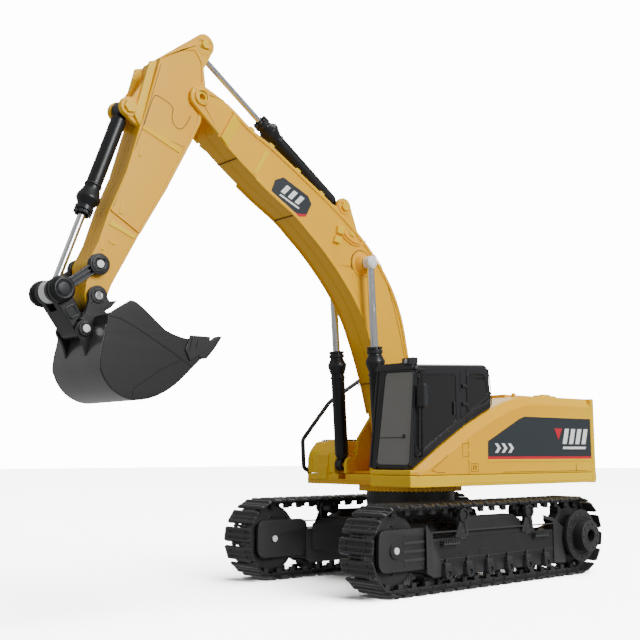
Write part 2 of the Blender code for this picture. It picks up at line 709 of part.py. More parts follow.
def cab_fittings():
    foot = (-82.7, 93.6)
    outline = rounded([(32, 98.5), (64.5, 98.5), (64.5, 171), (36, 171)], 4)
    pane = extrude(outline, foot[0] - 1.3, foot[0] - GAP, plane="XZ")
    name_part(lean(pane, foot, -3.75), "windshield", GREY, HOUSE)
    rail = tube([(CAB_X[1] + 0.4, -74.2, 171), (74, -74.2, 171), (74, -74.8, 104),
                 (CAB_X[1] + 0.4, -74.8, 104)], 0.9, 1)
    head = block((72, 80), (-78.2, -73.2), (142.5, 161.5), 1.2)
    name_part(join(rail, head), "mirror", BLACK, HOUSE)


def handrail():
    x = -HOUSE_X - 2.6
    stop = -HOUSE_X - GAP
    path = [(stop, -63, 91.5), (x, -63, 91.5), (x, -67.3, 93.5), (x, -68.9, 117.8), (x, -66.5, 121),
            (x, -37, 153),
            (x, -34, 155.2), (x, 6, 178), (x, 13, 179), (x, 17.5, 175), (x, 27, 138), (x, 27, 135), (stop,
                27, 135)]
    name_part(tube(path, 1.9), "handrail", BLACK, HOUSE)


def line_x(low, high):
    """An X range measured from the linkage's plane."""
    return (LINE_X + low, LINE_X + high)


def both_sides(low, high):
    return (line_x(low, high), line_x(-high, -low))


BRACKET_IN = BOOM_HALF + 1.3
BRACKET_OUT = 17.7


def boom_bracket():
    base = DECK_Z[1] + GAP
    side = [(10, base), (9, 100), (-10, 142)] + arc((-24, 142), 10, 10, 160, 7) + [(-54.3, 119.8),
        (-57.5, 104)]
    side += arc((-63.2, 97.2), 6.2, 50, 180, 6) + [(-69.4, base)]
    ear = arc((-63.2, 97.2), 6.2, 0, 180, 8) + [(-69.4, base), (-57, base)]
    plates = [extrude(side, *x) for x in both_sides(BRACKET_IN, BRACKET_OUT)]
    plates += [extrude(ear, *x) for x in both_sides(29.9, 31.4)]
    floors = [block(line_x(-17.4, 17.4), (-55, 0.5), (base, base + 2.2)),
              block(line_x(-31.1, 31.1), (-61, -54), (base, base + 2.0)),
              block(line_x(-BRACKET_IN - 0.5, BRACKET_IN + 0.5), (-3.5, 0.5), (base, 98))]
    pins = [rod_x(x, BOOM_CYL_BASE, 2.3) for x in both_sides(BRACKET_OUT - 1, 30.5)]
    body = join(floors[0], *floors[1:], *plates, *pins)
    name_part(cut(body, rod_x(line_x(-20, 20), BOOM_FOOT, 3.9)), "boom_bracket", YELLOW, HOUSE)
    name_part(rod_x(line_x(-19, 19), BOOM_FOOT, 3.6), "boom_foot_pin", STEEL, HOUSE)


def house_inside():
    y = PINION_Y
    base = DECK_Z[1] + GAP
    flange = block((-11, 11), (y + 0.5, y + 9.6), (base, base + 5))
    motor = join(flange, rod_z(0, y, (base + 0.5, 118), 8.4, 24))
    name_part(cut(motor, rod_z(0, y, (80, 101.5), 2.4, 12)), "slew_motor", STEEL, HOUSE)
    board = block((-45, 45), (50, 120), (96, 97.6))
    chips = [block((-20, -4), (70, 86), (97.4, 99.4)), block((10, 30), (80, 96), (97.4, 103)),
             block((-38, -30), (100, 112), (97.4, 106))]
    posts = [rod_z(x, yy, (base, 96.4), 2.2, 10) for x in (-40, 40) for yy in (55, 115)]
    name_part(join(board, *chips, *posts), "circuit_board", GREEN, HOUSE)


def house():
    deck()
    side_covers()
    engine_cover()
    counterweight()
    tool_box()
    cab()
    cab_fittings()
    handrail()
    boom_bracket()
    house_inside()


# ---------------------------------------------------------------- cylinders

def barrel(base, eye, x, length, r, nose, bulge, bore, depth, eye_half, eye_r, pin_r):
    """Cylinder barrel: eye on its base pin, tube and double-cone gland, bored from the nose."""
    start = Vector(line(base, x))
    way = (Vector(line(eye, x)) - start).normalized()
    profile = [(eye_r * 0.4, 0), (eye_r * 0.4, r * 0.7), (eye_r + 3, r), (length - 21, r),
               (length - 20, r + 0.6), (length - 15, bulge),
               (length - 12.5, bulge), (length - 6, nose), (length, nose), (length, bore), (depth,
                   bore), (depth, 0)]
    body = turned(profile, start, way, 18)
    lug = rod_x(line_x(x - eye_half, x + eye_half), base, eye_r, 18)
    pin = rod_x(line_x(x - eye_half - 1, x + eye_half + 1), base, pin_r)
    return cut(join(body, lug), pin)


def rod(base, eye, x, end, r, eye_half, eye_r, pin_r):
    """Piston rod from its eye back into the barrel, to a distance end from the barrel's pin."""
    start = Vector(line(eye, x))
    way = Vector(line(base, x)) - start
    length = way.length - end
    body = turned([(0.5, 0), (0.5, r), (length - 0.6, r), (length, r - 0.6), (length, 0)], start,
                  way.normalized(), 14)
    lug = rod_x(line_x(x - eye_half, x + eye_half), eye, eye_r, 18)
    pin = rod_x(line_x(x - eye_half - 1, x + eye_half + 1), eye, pin_r)
    return cut(join(body, lug), pin)


def cylinders():
    for side, label in ((1, "left"), (-1, "right")):
        x = side * CYL_X
        body = barrel(BOOM_CYL_BASE, BOOM_EYE, x, 99, 5.9, 6.2, 8.2, 4.95, 22, 3.4, 5.4, 2.6)
        name_part(body, "boom_cylinder_" + label, BLACK, BOOM_BARRELS)
        body = rod(BOOM_CYL_BASE, BOOM_EYE, x, 58, 3.3, 3.4, 5.3, PIN_BORE)
        name_part(body, "boom_rod_" + label, STEEL, BOOM_RODS)
    body = barrel(ARM_CYL_BASE, ARM_EYE, 0, 104, 5.6, 6.0, 8.7, 4.4, 30, 4.6, 6.4, PIN_BORE)
    name_part(body, "arm_cylinder", BLACK, ARM_BARREL)
    body = rod(ARM_CYL_BASE, ARM_EYE, 0, 68, 2.4, 4.4, 7.6, PIN_BORE)
    name_part(body, "arm_rod", STEEL, ARM_ROD)
    body = barrel(BUCKET_CYL_BASE, LINK_JOINT, 0, 88, 5.7, 6.2, 8.5, 4.3, 24, 4.6, 6.4, PIN_BORE)
    name_part(body, "bucket_cylinder", BLACK, BUCKET_BARREL)
    body = rod(BUCKET_CYL_BASE, LINK_JOINT, 0, 50, 2.9, 4.4, 7.6, 3.3)
    name_part(body, "bucket_rod", STEEL, BUCKET_ROD)


# ---------------------------------------------------------------- boom

def boom_outline():
    top = [(-16.8, 114), (-13.2, 140), (-15.2, 165), (-20.6, 190.7), (-27.8, 222.2), (-38.3, 246.4),
           (-51.7, 265.3), (-68.8, 283.4),
           (-88, 299), (-111.5, 314.5), (-140.4, 331), (-175.1, 350.2), (-197.2, 360.5), (-212.9,
               370.8), (-225, 378)]
    tip = arc(ARM_PIVOT, 9.8, 75, 215, 8)
    low = [(-235.5, 355.0), (-214.6, 338.7), (-179.9, 315.5), (-151.9, 299.7), (-133.2, 285.5),
           (-119.1, 274.0), (-102.1, 257.5),
           (-86.6, 239.6), (-74.8, 222.0), (-64.5, 200.2), (-54.3, 173.9), (-47, 150), (-40.5, 126)]
    foot = arc(BOOM_FOOT, 11.2, 190, 350, 8)
    return top + tip + low + foot


def mirror_x(low, high, side):
    """An X range on one side of the linkage's plane."""
    ends = (LINE_X + side * low, LINE_X + side * high)
    return min(ends), max(ends)


def boom_shell():
    """The right half; the left is its mirror image."""
    side = -1
    outline = boom_outline()
    body = extrude(outline, *mirror_x(0.15, BOOM_HALF, side))
    hollow = extrude(inset(outline, WALL), *mirror_x(-2, BOOM_HALF - 2.2, side))
    body = cut(body, hollow)
    ear = [(-207, 363), (-222, 374)] + arc(ARM_PIVOT, 9.8, 75, 215, 8) + [(-235.5, 355.0),
        (-214.6, 338.7), (-203, 333)]
    bosses = [extrude(ear, *mirror_x(BOOM_HALF - 0.3, 15.6, side)),
              rod_x(mirror_x(15, 17.4, side), ARM_PIVOT, 6.5, 20),
              rod_x(mirror_x(0.15, BOOM_HALF - 1, side), BOOM_FOOT, 8, 20),
              rod_x(mirror_x(0.15, 15.2, side), BOOM_EYE, 11.5, 24),
              rod_x(mirror_x(14, 19.6, side), BOOM_EYE, 6.2, 20)]
    base_ear = [(-74, 290)] + arc(ARM_CYL_BASE, 7.6, 20, 190, 8) + [(-120, 321), (-112, 308), (-84, 290)]
    bosses.append(extrude(base_ear, *mirror_x(6.0, 9.2, side)))
    body = join(body, *bosses)
    slot = extrude([(-232.5, 330), (-232.5, 395), (-280, 395), (-280, 330)],
                   *mirror_x(-3, ARM_HALF + 0.5, side))
    pins = [rod_x(mirror_x(-2, 25, side), ARM_PIVOT, 4.5, 18),
            rod_x(mirror_x(-2, 25, side), BOOM_FOOT, 3.9),
            rod_x(mirror_x(-2, 25, side), BOOM_EYE, PIN_BORE), rod_x(mirror_x(-2, 25, side), ARM_CYL_BASE,
                PIN_BORE)]
    return cut(body, slot, *pins)


def boom():
    half = boom_shell()
    name_part(reflected(half, LINE_X), "boom_shell_left", YELLOW, BOOM)
    name_part(half, "boom_shell_right", YELLOW, BOOM)
    name_part(rod_x(line_x(-CYL_X - 3.6, CYL_X + 3.6), BOOM_EYE, PIN_R), "boom_eye_pin", STEEL, BOOM)
    pin = rod_x(line_x(-16.4, 16.4), ARM_PIVOT, 4.2, 18)
    bore = rod_x(line_x(-20, 20), ARM_PIVOT, 2.8)
    name_part(cut(pin, bore), "arm_pin", YELLOW, BOOM)
    head = rod_x(line_x(-12.2, -9.6), ARM_CYL_BASE, 5.2, 6)
    name_part(join(rod_x(line_x(-9.9, 11.8), ARM_CYL_BASE, PIN_R), head), "arm_cylinder_pin", YELLOW, BOOM)


# ---------------------------------------------------------------- arm and bucket

def arm_outline():
    rear = [(-316.3, 222.7), (-294.8, 262.3), (-273.5, 298.8), (-252.4, 339.6), (-244.8, 355.8),
            (-241.6, 372), (-240.8, 388),
            (-242.5, 400), (-238, 408.5)]
    top = arc(ARM_EYE, 8.8, -40, 118, 8)
    front = [(-281.4, 398.9), (-287.8, 375.8), (-293.7, 353.6), (-297.8, 340.4), (-307.5, 306.0),
             (-319.7, 276.5), (-327.5, 252)]
    joint_boss = arc(LINK_PIVOT, 6.4, 150, 200, 3)
    tip = arc(BUCKET_PIVOT, 8.2, 170, 330, 8)
    return rear + top + front + joint_boss + tip


def arm_shell():
    """The right half; the left is its mirror image."""
    side = -1
    outline = arm_outline()
    body = extrude(outline, *mirror_x(0.15, ARM_HALF, side))
    hollow = extrude(inset(outline, WALL), *mirror_x(-2, ARM_HALF - 2.2, side))
    body = cut(body, hollow)
    ear = [(-284.5, 392)] + arc(BUCKET_CYL_BASE, 7.6, 75, 235, 8) + [(-295, 341), (-286, 356)]
    bosses = [rod_x(mirror_x(0.25, ARM_HALF - 0.5, side), ARM_PIVOT, 8.6, 20),
              rod_x(mirror_x(0.25, ARM_HALF - 0.5, side), BUCKET_PIVOT, 7.6, 18),
              rod_x(mirror_x(0.25, ARM_HALF - 0.5, side), LINK_PIVOT, 5.8, 16),
              rod_x(mirror_x(5.4, ARM_HALF - 0.5, side), ARM_EYE, 8.2, 18),
              extrude(ear, *mirror_x(6.1, 9.4, side))]
    body = join(body, *bosses)
    pins = [rod_x(mirror_x(-2, 25, side), ARM_PIVOT, 4.5, 18),
            rod_x(mirror_x(-2, 25, side), BUCKET_PIVOT, PIN_BORE),
            rod_x(mirror_x(-2, 25, side), LINK_PIVOT, PIN_BORE), rod_x(mirror_x(-2, 25, side),
                BUCKET_CYL_BASE, PIN_BORE),
            rod_x(mirror_x(-2, 25, side), ARM_EYE, PIN_BORE)]
    room = extrude(circle(ARM_EYE, 10.4, 20), *mirror_x(-3, 5.1, side))
    return cut(body, room, *pins)


def side_link(side, name):
    """Straight link with a round boss at each end, outside the arm."""
    away = Vector(LINK_JOINT) - Vector(LINK_PIVOT)
    across_way = Vector((-away.y, away.x)).normalized() * 3.4
    a, b = Vector(LINK_PIVOT), Vector(LINK_JOINT)
    bar = [tuple(a + across_way), tuple(b + across_way), tuple(b - across_way), tuple(a - across_way)]
    body = extrude(bar, *mirror_x(12.8, 15.8, side))
    body = join(body, rod_x(mirror_x(12.6, 17.6, side), LINK_PIVOT, 6.6, 20),
                rod_x(mirror_x(12.6, 18.4, side), LINK_JOINT, LINK_BOSS_R, 32))
    holes = [rod_x(mirror_x(10, 20, side), LINK_PIVOT, PIN_BORE),
             rod_x(mirror_x(10, 16.4, side), LINK_JOINT, 3.3)]
    name_part(cut(body, *holes), name, BLACK, LINKS)


def bucket_link():
    way = Vector(LINK_JOINT) - Vector(BUCKET_LINK_EYE)
    out = Vector((-way.y, way.x)).normalized()
    a, b = Vector(BUCKET_LINK_EYE), Vector(LINK_JOINT)
    bar = [tuple(a + out * 5.2), tuple(b + out * 6.5), tuple(b - out * 6.5), tuple(a - out * 5.2)]
    body = join(extrude(bar, *line_x(-11.4, 11.4)), rod_x(line_x(-11.4, 11.4), BUCKET_LINK_EYE, 5.4, 18),
                rod_x(line_x(-12.2, 12.2), LINK_JOINT, 8.4, 22))
    fork = extrude(circle(LINK_JOINT, 13.5, 20), *line_x(-5.0, 5.0))
    body = cut(body, fork, rod_x(line_x(-20, 20), LINK_JOINT, 5.1, 18))
    name_part(join(body, rod_x(line_x(-17.4, 17.4), BUCKET_LINK_EYE, PIN_R)), "bucket_link", BLACK,
              BUCKET_LINK)


BUCKET_BACK = [(-262.8, 166.5), (-275.4, 155.0), (-287, 147.6), (-298.8, 143.2), (-311.3, 142.2),
               (-323.0, 146.6), (-331.2, 154.4),
               (-335.4, 164.0), (-334.8, 174.0), (-333.0, 182.7), (-331.6, 191.5)]


def bucket():
    """Wrapper, side plates, ears, lip and teeth; the mouth looks up and towards the machine."""
    mouth = [(-329.2, 199.5), (-313.8, 209.7), (-307, 207.6), (-286.1, 191.8), (-266.0, 186.8),
             (-248.0, 187.0)]
    outline = mouth + [(-249.5, 178.6)] + BUCKET_BACK
    outline = outline[::-1]
    body = extrude(outline, *line_x(-BUCKET_HALF, BUCKET_HALF))
    inner_back = inset(BUCKET_BACK[::-1], WALL)[1:-1]
    inner = [(-320.5, 199.0), (-300, 225), (-230, 215), (-246.5, 182.0), (-260.5, 169.0)]
    room = extrude(inner + inner_back[::-1] + [(-328.6, 190.5)],
                   *line_x(-BUCKET_HALF + WALL, BUCKET_HALF - WALL))
    body = cut(body, room)
    ear = arc(BUCKET_PIVOT, 7.0, 0, 160, 7) + [(-337, 203)] + arc(BUCKET_LINK_EYE, 6.0, 120, 250, 6)
    ear += [(-336, 176), (-331, 176), (-327, 196), (-318, 203), (-315.5, 208)]
    adds = [extrude(ear, *x) for x in both_sides(12.8, 15.8)]
    for i in range(5):
        x = LINE_X + (i - 2) * 15.6
        wedge = [(-256, 175.5), (-251, 174.5), (-236.8, 190.6), (-243.5, 190.6), (-252, 184.5)]
        adds.append(extrude(wedge, x - 3.2, x + 3.2))
    for x in both_sides(BUCKET_HALF - 0.5, BUCKET_HALF + 1.2):
        adds.append(extrude([(-265.5, 189.5), (-269.8, 179), (-265.7, 171.1), (-249, 181),
                             (-248.8, 189.6)], *x))
    body = join(body, *adds)
    holes = [rod_x(line_x(-20, 20), BUCKET_PIVOT, PIN_BORE),
             rod_x(line_x(-20, 20), BUCKET_LINK_EYE, PIN_BORE)]
    name_part(cut(body, *holes), "bucket", BLACK, BUCKET)


def linkage_pins():
    name_part(rod_x(line_x(-17.4, 17.4), BUCKET_PIVOT, PIN_R), "bucket_pin", STEEL, BUCKET)
    name_part(rod_x(line_x(-16.2, 16.2), LINK_JOINT, 3.0), "link_pin", STEEL, LINKS)


def arm_and_bucket():
    half = arm_shell()
    name_part(reflected(half, LINE_X), "arm_shell_left", YELLOW, ARM)
    name_part(half, "arm_shell_right", YELLOW, ARM)
    side_link(1, "side_link_left")
    side_link(-1, "side_link_right")
    bucket_link()
    bucket()
    linkage_pins()


carrier_frame()
battery()
slew_gears()
tracks()
house()
cylinders()
boom()
arm_and_bucket()
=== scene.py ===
"""Looks of the toy excavator: moulded plastic, track shoes, bright rods, decals and studio light.

Shapes are drawn in millimetres in the machine's own frame: X across (cab side +), -Y forwards,
Z up, with y = 0 half way along the tracks. Piece.done() turns them into the frame's metres.
"""
import json
import math

import bmesh
import bpy
from mathutils import Matrix, Vector


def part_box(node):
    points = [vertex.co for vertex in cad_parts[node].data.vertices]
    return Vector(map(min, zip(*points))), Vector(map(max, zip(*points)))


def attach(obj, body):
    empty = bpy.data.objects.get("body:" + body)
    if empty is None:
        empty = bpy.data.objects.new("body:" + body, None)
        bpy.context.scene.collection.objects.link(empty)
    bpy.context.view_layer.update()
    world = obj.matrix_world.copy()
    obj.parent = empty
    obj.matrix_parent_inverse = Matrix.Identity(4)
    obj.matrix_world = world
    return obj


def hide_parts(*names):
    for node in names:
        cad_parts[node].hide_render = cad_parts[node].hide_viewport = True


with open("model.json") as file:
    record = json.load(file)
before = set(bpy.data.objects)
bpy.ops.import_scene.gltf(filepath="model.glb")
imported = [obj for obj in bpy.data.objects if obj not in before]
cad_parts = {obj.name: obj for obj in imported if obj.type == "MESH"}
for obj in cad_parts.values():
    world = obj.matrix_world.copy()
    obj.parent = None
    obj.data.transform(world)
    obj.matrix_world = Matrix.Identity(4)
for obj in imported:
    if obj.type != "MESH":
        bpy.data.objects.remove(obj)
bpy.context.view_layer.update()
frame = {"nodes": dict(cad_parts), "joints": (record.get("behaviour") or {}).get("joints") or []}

MM = 0.001
BELT_LOW, BELT_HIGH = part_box("track_belt_left")
SHIFT = (BELT_LOW.y + BELT_HIGH.y) / 2
TO_FRAME = Matrix.Translation((0, SHIFT, 0)) @ Matrix.Scale(MM, 4)
TO_MACHINE = TO_FRAME.inverted()

# pivots as (y, z) in the machine's frame, and the plane that the boom works in
PIVOT = {j["name"]: (j["pos_m"][1] / MM - SHIFT / MM, j["pos_m"][2] / MM) for j in frame["joints"]}
LINE_X = [j["pos_m"][0] / MM for j in frame["joints"] if j["name"] == "boom_lift"][0]
BOOM_FOOT, BOOM_EYE = PIVOT["boom_lift"], PIVOT["boom_rod_swing"]
ARM_PIVOT, ARM_EYE = PIVOT["arm_swing"], PIVOT["arm_rod_swing"]
ARM_BASE, BUCKET_BASE = PIVOT["arm_barrel_swing"], PIVOT["bucket_barrel_swing"]
LINK_PIVOT, LINK_JOINT = PIVOT["side_link_swing"], PIVOT["bucket_rod_swing"]
BUCKET_PIVOT, BUCKET_LINK_EYE = PIVOT["bucket_curl"], PIVOT["bucket_link_swing"]
BOOM_BASE = PIVOT["boom_barrel_swing"]


def span(node, axis):
    """A CAD node's (low, high) along an axis, in machine millimetres."""
    low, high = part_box(node)
    move = SHIFT if axis == 1 else 0
    return (low[axis] - move) / MM, (high[axis] - move) / MM


def middle(node, axis):
    return sum(span(node, axis)) / 2


TRACK_X = middle("track_belt_left", 0)
HOUSE_X = span("deck", 0)[1]
ROOF = span("side_cover_left", 2)[1]
CAB_SIDE = span("cab_shell", 0)[1]
CAB_FRONT = span("cab_shell", 1)[0]
BOOM_HALF = 13.0
ARM_HALF = 12.0
BUCKET_HALF = 34.5
CYLINDER_X = middle("boom_cylinder_left", 0) - LINE_X
ROLL = 48                     # sides of a large round
PIN_HOLE = 2.8                # linkage pin holes, radius
TOOTH_STEP = 15.6             # between bucket teeth
LUG_FRONT, LUG_STEP = -62, 25.6
WORLD_LIGHT = 0.42
FLOOR_LIGHT = 28
WALL_GLOW = 14


# ---------------------------------------------------------------- finishes

def linear(red, green, blue):
    """Screen colour, 0 to 255, as linear light."""
    return tuple(((c / 255 + 0.055) / 1.055) ** 2.4 if c > 10 else c / 255 / 12.92 for c in (red, green,
        blue)) + (1.0,)


class Value:
    """A shader socket that can stand in an arithmetic expression."""

    def __init__(self, tree, socket):
        self.tree, self.socket = tree, socket

    def _maths(self, operation, other, swapped=False):
        node = self.tree.nodes.new("ShaderNodeMath")
        node.operation = operation
        for slot, value in zip(node.inputs, (other, self) if swapped else (self, other)):
            connect(self.tree, slot, value)
        return Value(self.tree, node.outputs[0])

    def __add__(self, other):
        return self._maths("ADD", other)

    def __sub__(self, other):
        return self._maths("SUBTRACT", other)

    def __rsub__(self, other):
        return self._maths("SUBTRACT", other, True)

    def __mul__(self, other):
        return self._maths("MULTIPLY", other)

    __radd__, __rmul__ = __add__, __mul__


def connect(tree, slot, value):
    if isinstance(value, Value):
        tree.links.new(value.socket, slot)
    else:
        slot.default_value = value


class Finish:
    """A material under construction: a Principled shader and the nodes that feed it."""

    def __init__(self, name, **constants):
        self.material = bpy.data.materials.new(name)
        self.material.use_nodes = True
        self.tree = self.material.node_tree
        self.shader = self.tree.nodes["Principled BSDF"]
        for socket, value in constants.items():
            self.feed(socket.replace("_", " "), value)
        self.place = self.node("ShaderNodeTexCoord", out="Object")

    def feed(self, socket, value):
        connect(self.tree, self.shader.inputs[socket], value)

    def node(self, kind, settings=None, out=0, **inputs):
        node = self.tree.nodes.new(kind)
        for key, value in (settings or {}).items():
            if key == "stops":
                ramp = node.color_ramp
                while len(ramp.elements) < len(value):
                    ramp.elements.new(0.5)
                for element, (at, colour) in zip(ramp.elements, value):
                    element.position, element.color = at, colour
            else:
                setattr(node, key, value)
        for key, value in inputs.items():
            connect(self.tree, node.inputs[int(key[1:]) if key[1:].isdigit() else key], value)
        return Value(self.tree, node.outputs[out])

    def noise(self, scale, detail=3.0):
        return self.node("ShaderNodeTexNoise", Vector=self.place, Scale=scale, Detail=detail)

    def mask(self, value, low, high):
        """0 below low, 1 above high, smooth between."""
        return self.node("ShaderNodeMapRange", {"interpolation_type": "SMOOTHSTEP"}, _0=value, _1=low,
                         _2=high)

    def blend(self, factor, a, b):
        return self.node("ShaderNodeMix", {"data_type": "RGBA"}, out=2, _0=factor, _6=a, _7=b)

    def edge(self, low=0.505, high=0.58):
        """1 along convex edges."""
        return self.mask(self.node("ShaderNodeNewGeometry", out="Pointiness"), low, high)

    def bump(self, height, strength, depth):
        normal = self.node("ShaderNodeBump", Height=height, Strength=strength, Distance=depth)
        self.feed("Normal", normal)


def scaled(colour, by):
    return tuple(min(0.95, c * by) for c in colour[:3]) + (1.0,)


def plastic(name, colour, roughness, grain=0.12, mottle=0.06, wear_and_highlight=0.25, dust=0.0, coat=0.0):
    """Moulded plastic: faint flow marks, a fine grain, and convex edges made lighter, partly as wear from
    handling and partly as a painted highlight.
    """
    finish = Finish(name, IOR=1.46, Specular_IOR_Level=0.42, Coat_Weight=coat, Coat_Roughness=0.12)
    flow = finish.noise(38, 4)
    fine = finish.noise(1500, 2)
    edge = finish.edge()
    base = finish.blend(flow, scaled(colour, 1 - mottle), scaled(colour, 1 + mottle))
    # convex edges lightened: partly wear, partly a painted highlight where light catches the edges
    base = finish.blend(edge * min(wear_and_highlight, 1.0), base, scaled(colour, 1.3 + wear_and_highlight))
    if dust:
        settled = finish.mask(finish.noise(120, 5), 0.42, 0.75) * dust
        base = finish.blend(settled, base, linear(96, 94, 90))
    finish.feed("Base Color", base)
    finish.feed("Roughness", flow * 0.10 + (roughness - 0.05) - edge * 0.06)
    finish.bump(fine + flow * 0.4, grain, 0.0001)
    return finish.material


def bright_metal(name, colour, roughness, brushed=0.0):
    """Steel or chrome: fine turning marks, and thin smears that dull it."""
    finish = Finish(name, Metallic=1.0)
    smear = finish.mask(finish.noise(90, 5), 0.45, 0.72)
    fine = finish.noise(2600, 2)
    finish.feed("Base Color", finish.blend(smear * 0.35, colour, scaled(colour, 0.78)))
    finish.feed("Roughness", smear * 0.10 + fine * brushed + roughness)
    finish.bump(fine, 0.08, 0.00005)
    return finish.material


def ink(name, colour, roughness=0.3):
    """Printed film: even colour with a slight gloss change."""
    finish = Finish(name, Specular_IOR_Level=0.5)
    patch = finish.noise(60, 3)
    finish.feed("Base Color", finish.blend(patch, scaled(colour, 0.95), scaled(colour, 1.05)))
    finish.feed("Roughness", patch * 0.12 + roughness)
    finish.bump(finish.noise(900, 2), 0.05, 0.00005)
    return finish.material


# the edge lightening set for each plastic below is partly wear and partly painted highlight; it is
# strongest on the blacks
YELLOW = plastic("yellow plastic", linear(250, 176, 6), 0.36, wear_and_highlight=0.5, mottle=0.04, coat=0.05)
BLACK = plastic("black plastic", linear(24, 25, 27), 0.34, wear_and_highlight=2.0)
SHOE = plastic("track rubber black", linear(26, 26, 27), 0.30, wear_and_highlight=2.5, dust=0.05, coat=0.2)
FRAME_BLACK = plastic("undercarriage black", linear(40, 40, 41), 0.42, wear_and_highlight=1.0, dust=0.04)
CAB_BLACK = plastic("cab black", linear(18, 18, 20), 0.22, wear_and_highlight=2.5, coat=0.3)
BUCKET_BLACK = plastic("bucket black", linear(28, 28, 29), 0.40, wear_and_highlight=1.5)
# near-black strips laid over grooves, slots and gaps: painted shadow
GROOVE_SHADOW = plastic("shadow groove", linear(8, 8, 9), 0.7)
# dark yellow strips laid along seams and slots: painted shade where the parts meet
SEAM_SHADE = plastic("painted shade of seams", linear(96, 62, 10), 0.6)
# light grey: partly the pane's smoked tint, partly a painted reflection on the glass
PANE_AND_REFLECTION = plastic("smoked pane with painted reflection", linear(118, 117, 114), 0.12, grain=0.02, coat=0.6)
SIDE_PANE = plastic("black pane", linear(22, 22, 24), 0.10, grain=0.02, coat=0.5)
CHROME = bright_metal("rod chrome", linear(226, 228, 232), 0.10)
STEEL = bright_metal("pin steel", linear(222, 222, 224), 0.28, 0.08)
WHITE_STEEL = plastic("white pin", linear(240, 241, 243), 0.26, wear_and_highlight=0.1)
BRASS = bright_metal("pinion brass", linear(206, 164, 92), 0.26, 0.1)
NYLON = plastic("white nylon", linear(222, 220, 212), 0.42)
GREEN = plastic("board green", linear(24, 92, 52), 0.4)
BLUE = plastic("battery blue", linear(52, 88, 150), 0.35)
SLATE = ink("slate film", linear(42, 49, 54))
RED = ink("red film", linear(208, 20, 44))
WHITE = ink("white film", linear(246, 247, 248))
LAMP = plastic("lamp lens", linear(150, 152, 156), 0.08, grain=0.02, coat=0.8)
TAIL = plastic("tail lamp", linear(150, 12, 12), 0.15, grain=0.02, coat=0.8)


def wrapper_metal():
    """Bucket wrapper: glossy dark grey, mottled lighter and darker at random."""
    finish = Finish("bucket wrapper", Metallic=0.25, Coat_Weight=0.6, Coat_Roughness=0.06)
    flow = finish.noise(45, 4)
    finish.feed("Base Color", finish.blend(flow, linear(52, 52, 53), linear(92, 91, 90)))
    finish.feed("Roughness", flow * 0.08 + 0.24)
    finish.bump(finish.noise(1200, 2), 0.05, 0.00005)
    return finish.material


WRAPPER = wrapper_metal()


# ---------------------------------------------------------------- shapes

def arc(centre, r, start, end, steps=8):
    """Points on a circle from one angle to another, in degrees from the first axis."""
    out = []
    for k in range(steps + 1):
        angle = math.radians(start + (end - start) * k / steps)
        out.append((centre[0] + r * math.cos(angle), centre[1] + r * math.sin(angle)))
    return out


def circle(centre, r, steps=32):
    return arc(centre, r, 0, 360 * (steps - 1) / steps, steps - 1)


def rounded(points, r, steps=4):
    """Outline with its corners rounded by radius r."""
    out = []
    for i, corner in enumerate(points):
        corner = Vector(corner)
        before = (Vector(points[i - 1]) - corner).normalized()
        after = (Vector(points[(i + 1) % len(points)]) - corner).normalized()
        half = before.angle(after) / 2
        if half > 1.5:
            out.append(tuple(corner))
            continue
        centre = corner + (before + after).normalized() * (r / math.sin(half))
        start = corner + before * (r / math.tan(half)) - centre
        sweep = math.pi - 2 * half
        side = 1 if before.cross(after) < 0 else -1
        out += [tuple(centre + Matrix.Rotation(side * sweep * k / steps,
                                               2) @ start) for k in range(steps + 1)]
    return out


def smooth(points, steps=6):
    """A curve through the points."""
    out = []
    for i in range(len(points) - 1):
        a, b, c, d = (Vector(points[min(max(i + k, 0), len(points) - 1)]) for k in (-1, 0, 1, 2))
        for k in range(steps):
            t = k / steps
            spot = b + (c - a) * (t / 2) + (a * 2 - b * 5 + c * 4 - d) * (t * t / 2)
            out.append(tuple(spot + (b * 3 - a - c * 3 + d) * (t ** 3 / 2)))
    return out + [tuple(points[-1])]


def along(a, b, share):
    return tuple(p + (q - p) * share for p, q in zip(a, b))


def strip(points, width):
    """Outline of a line of the given width through the points."""
    left, right = [], []
    for i, here in enumerate(points):
        way = Vector(points[min(i + 1, len(points) - 1)]) - Vector(points[max(i - 1, 0)])
        out = Vector((-way.y, way.x)).normalized() * width / 2
        left.append(tuple(Vector(here) + out))
        right.append(tuple(Vector(here) - out))
    return left + right[::-1]


def frame_outline(points, width):
    """The outline and, moved inwards by a width, its hole."""
    count = len(points)
    area = sum(points[i - 1][0] * points[i][1] - points[i][0] * points[i - 1][1] for i in range(count))
    sign = 1 if area > 0 else -1
    hole = []
    for i, here in enumerate(points):
        a = (Vector(here) - Vector(points[i - 1])).normalized()
        b = (Vector(points[(i + 1) % count]) - Vector(here)).normalized()
        out = (Vector((-a.y, a.x)) + Vector((-b.y, b.x))).normalized() * sign
        hole.append(tuple(Vector(here) + out * (width / max(0.4, abs(out.dot(Vector((-a.y, a.x))))))))
    return points, [hole]


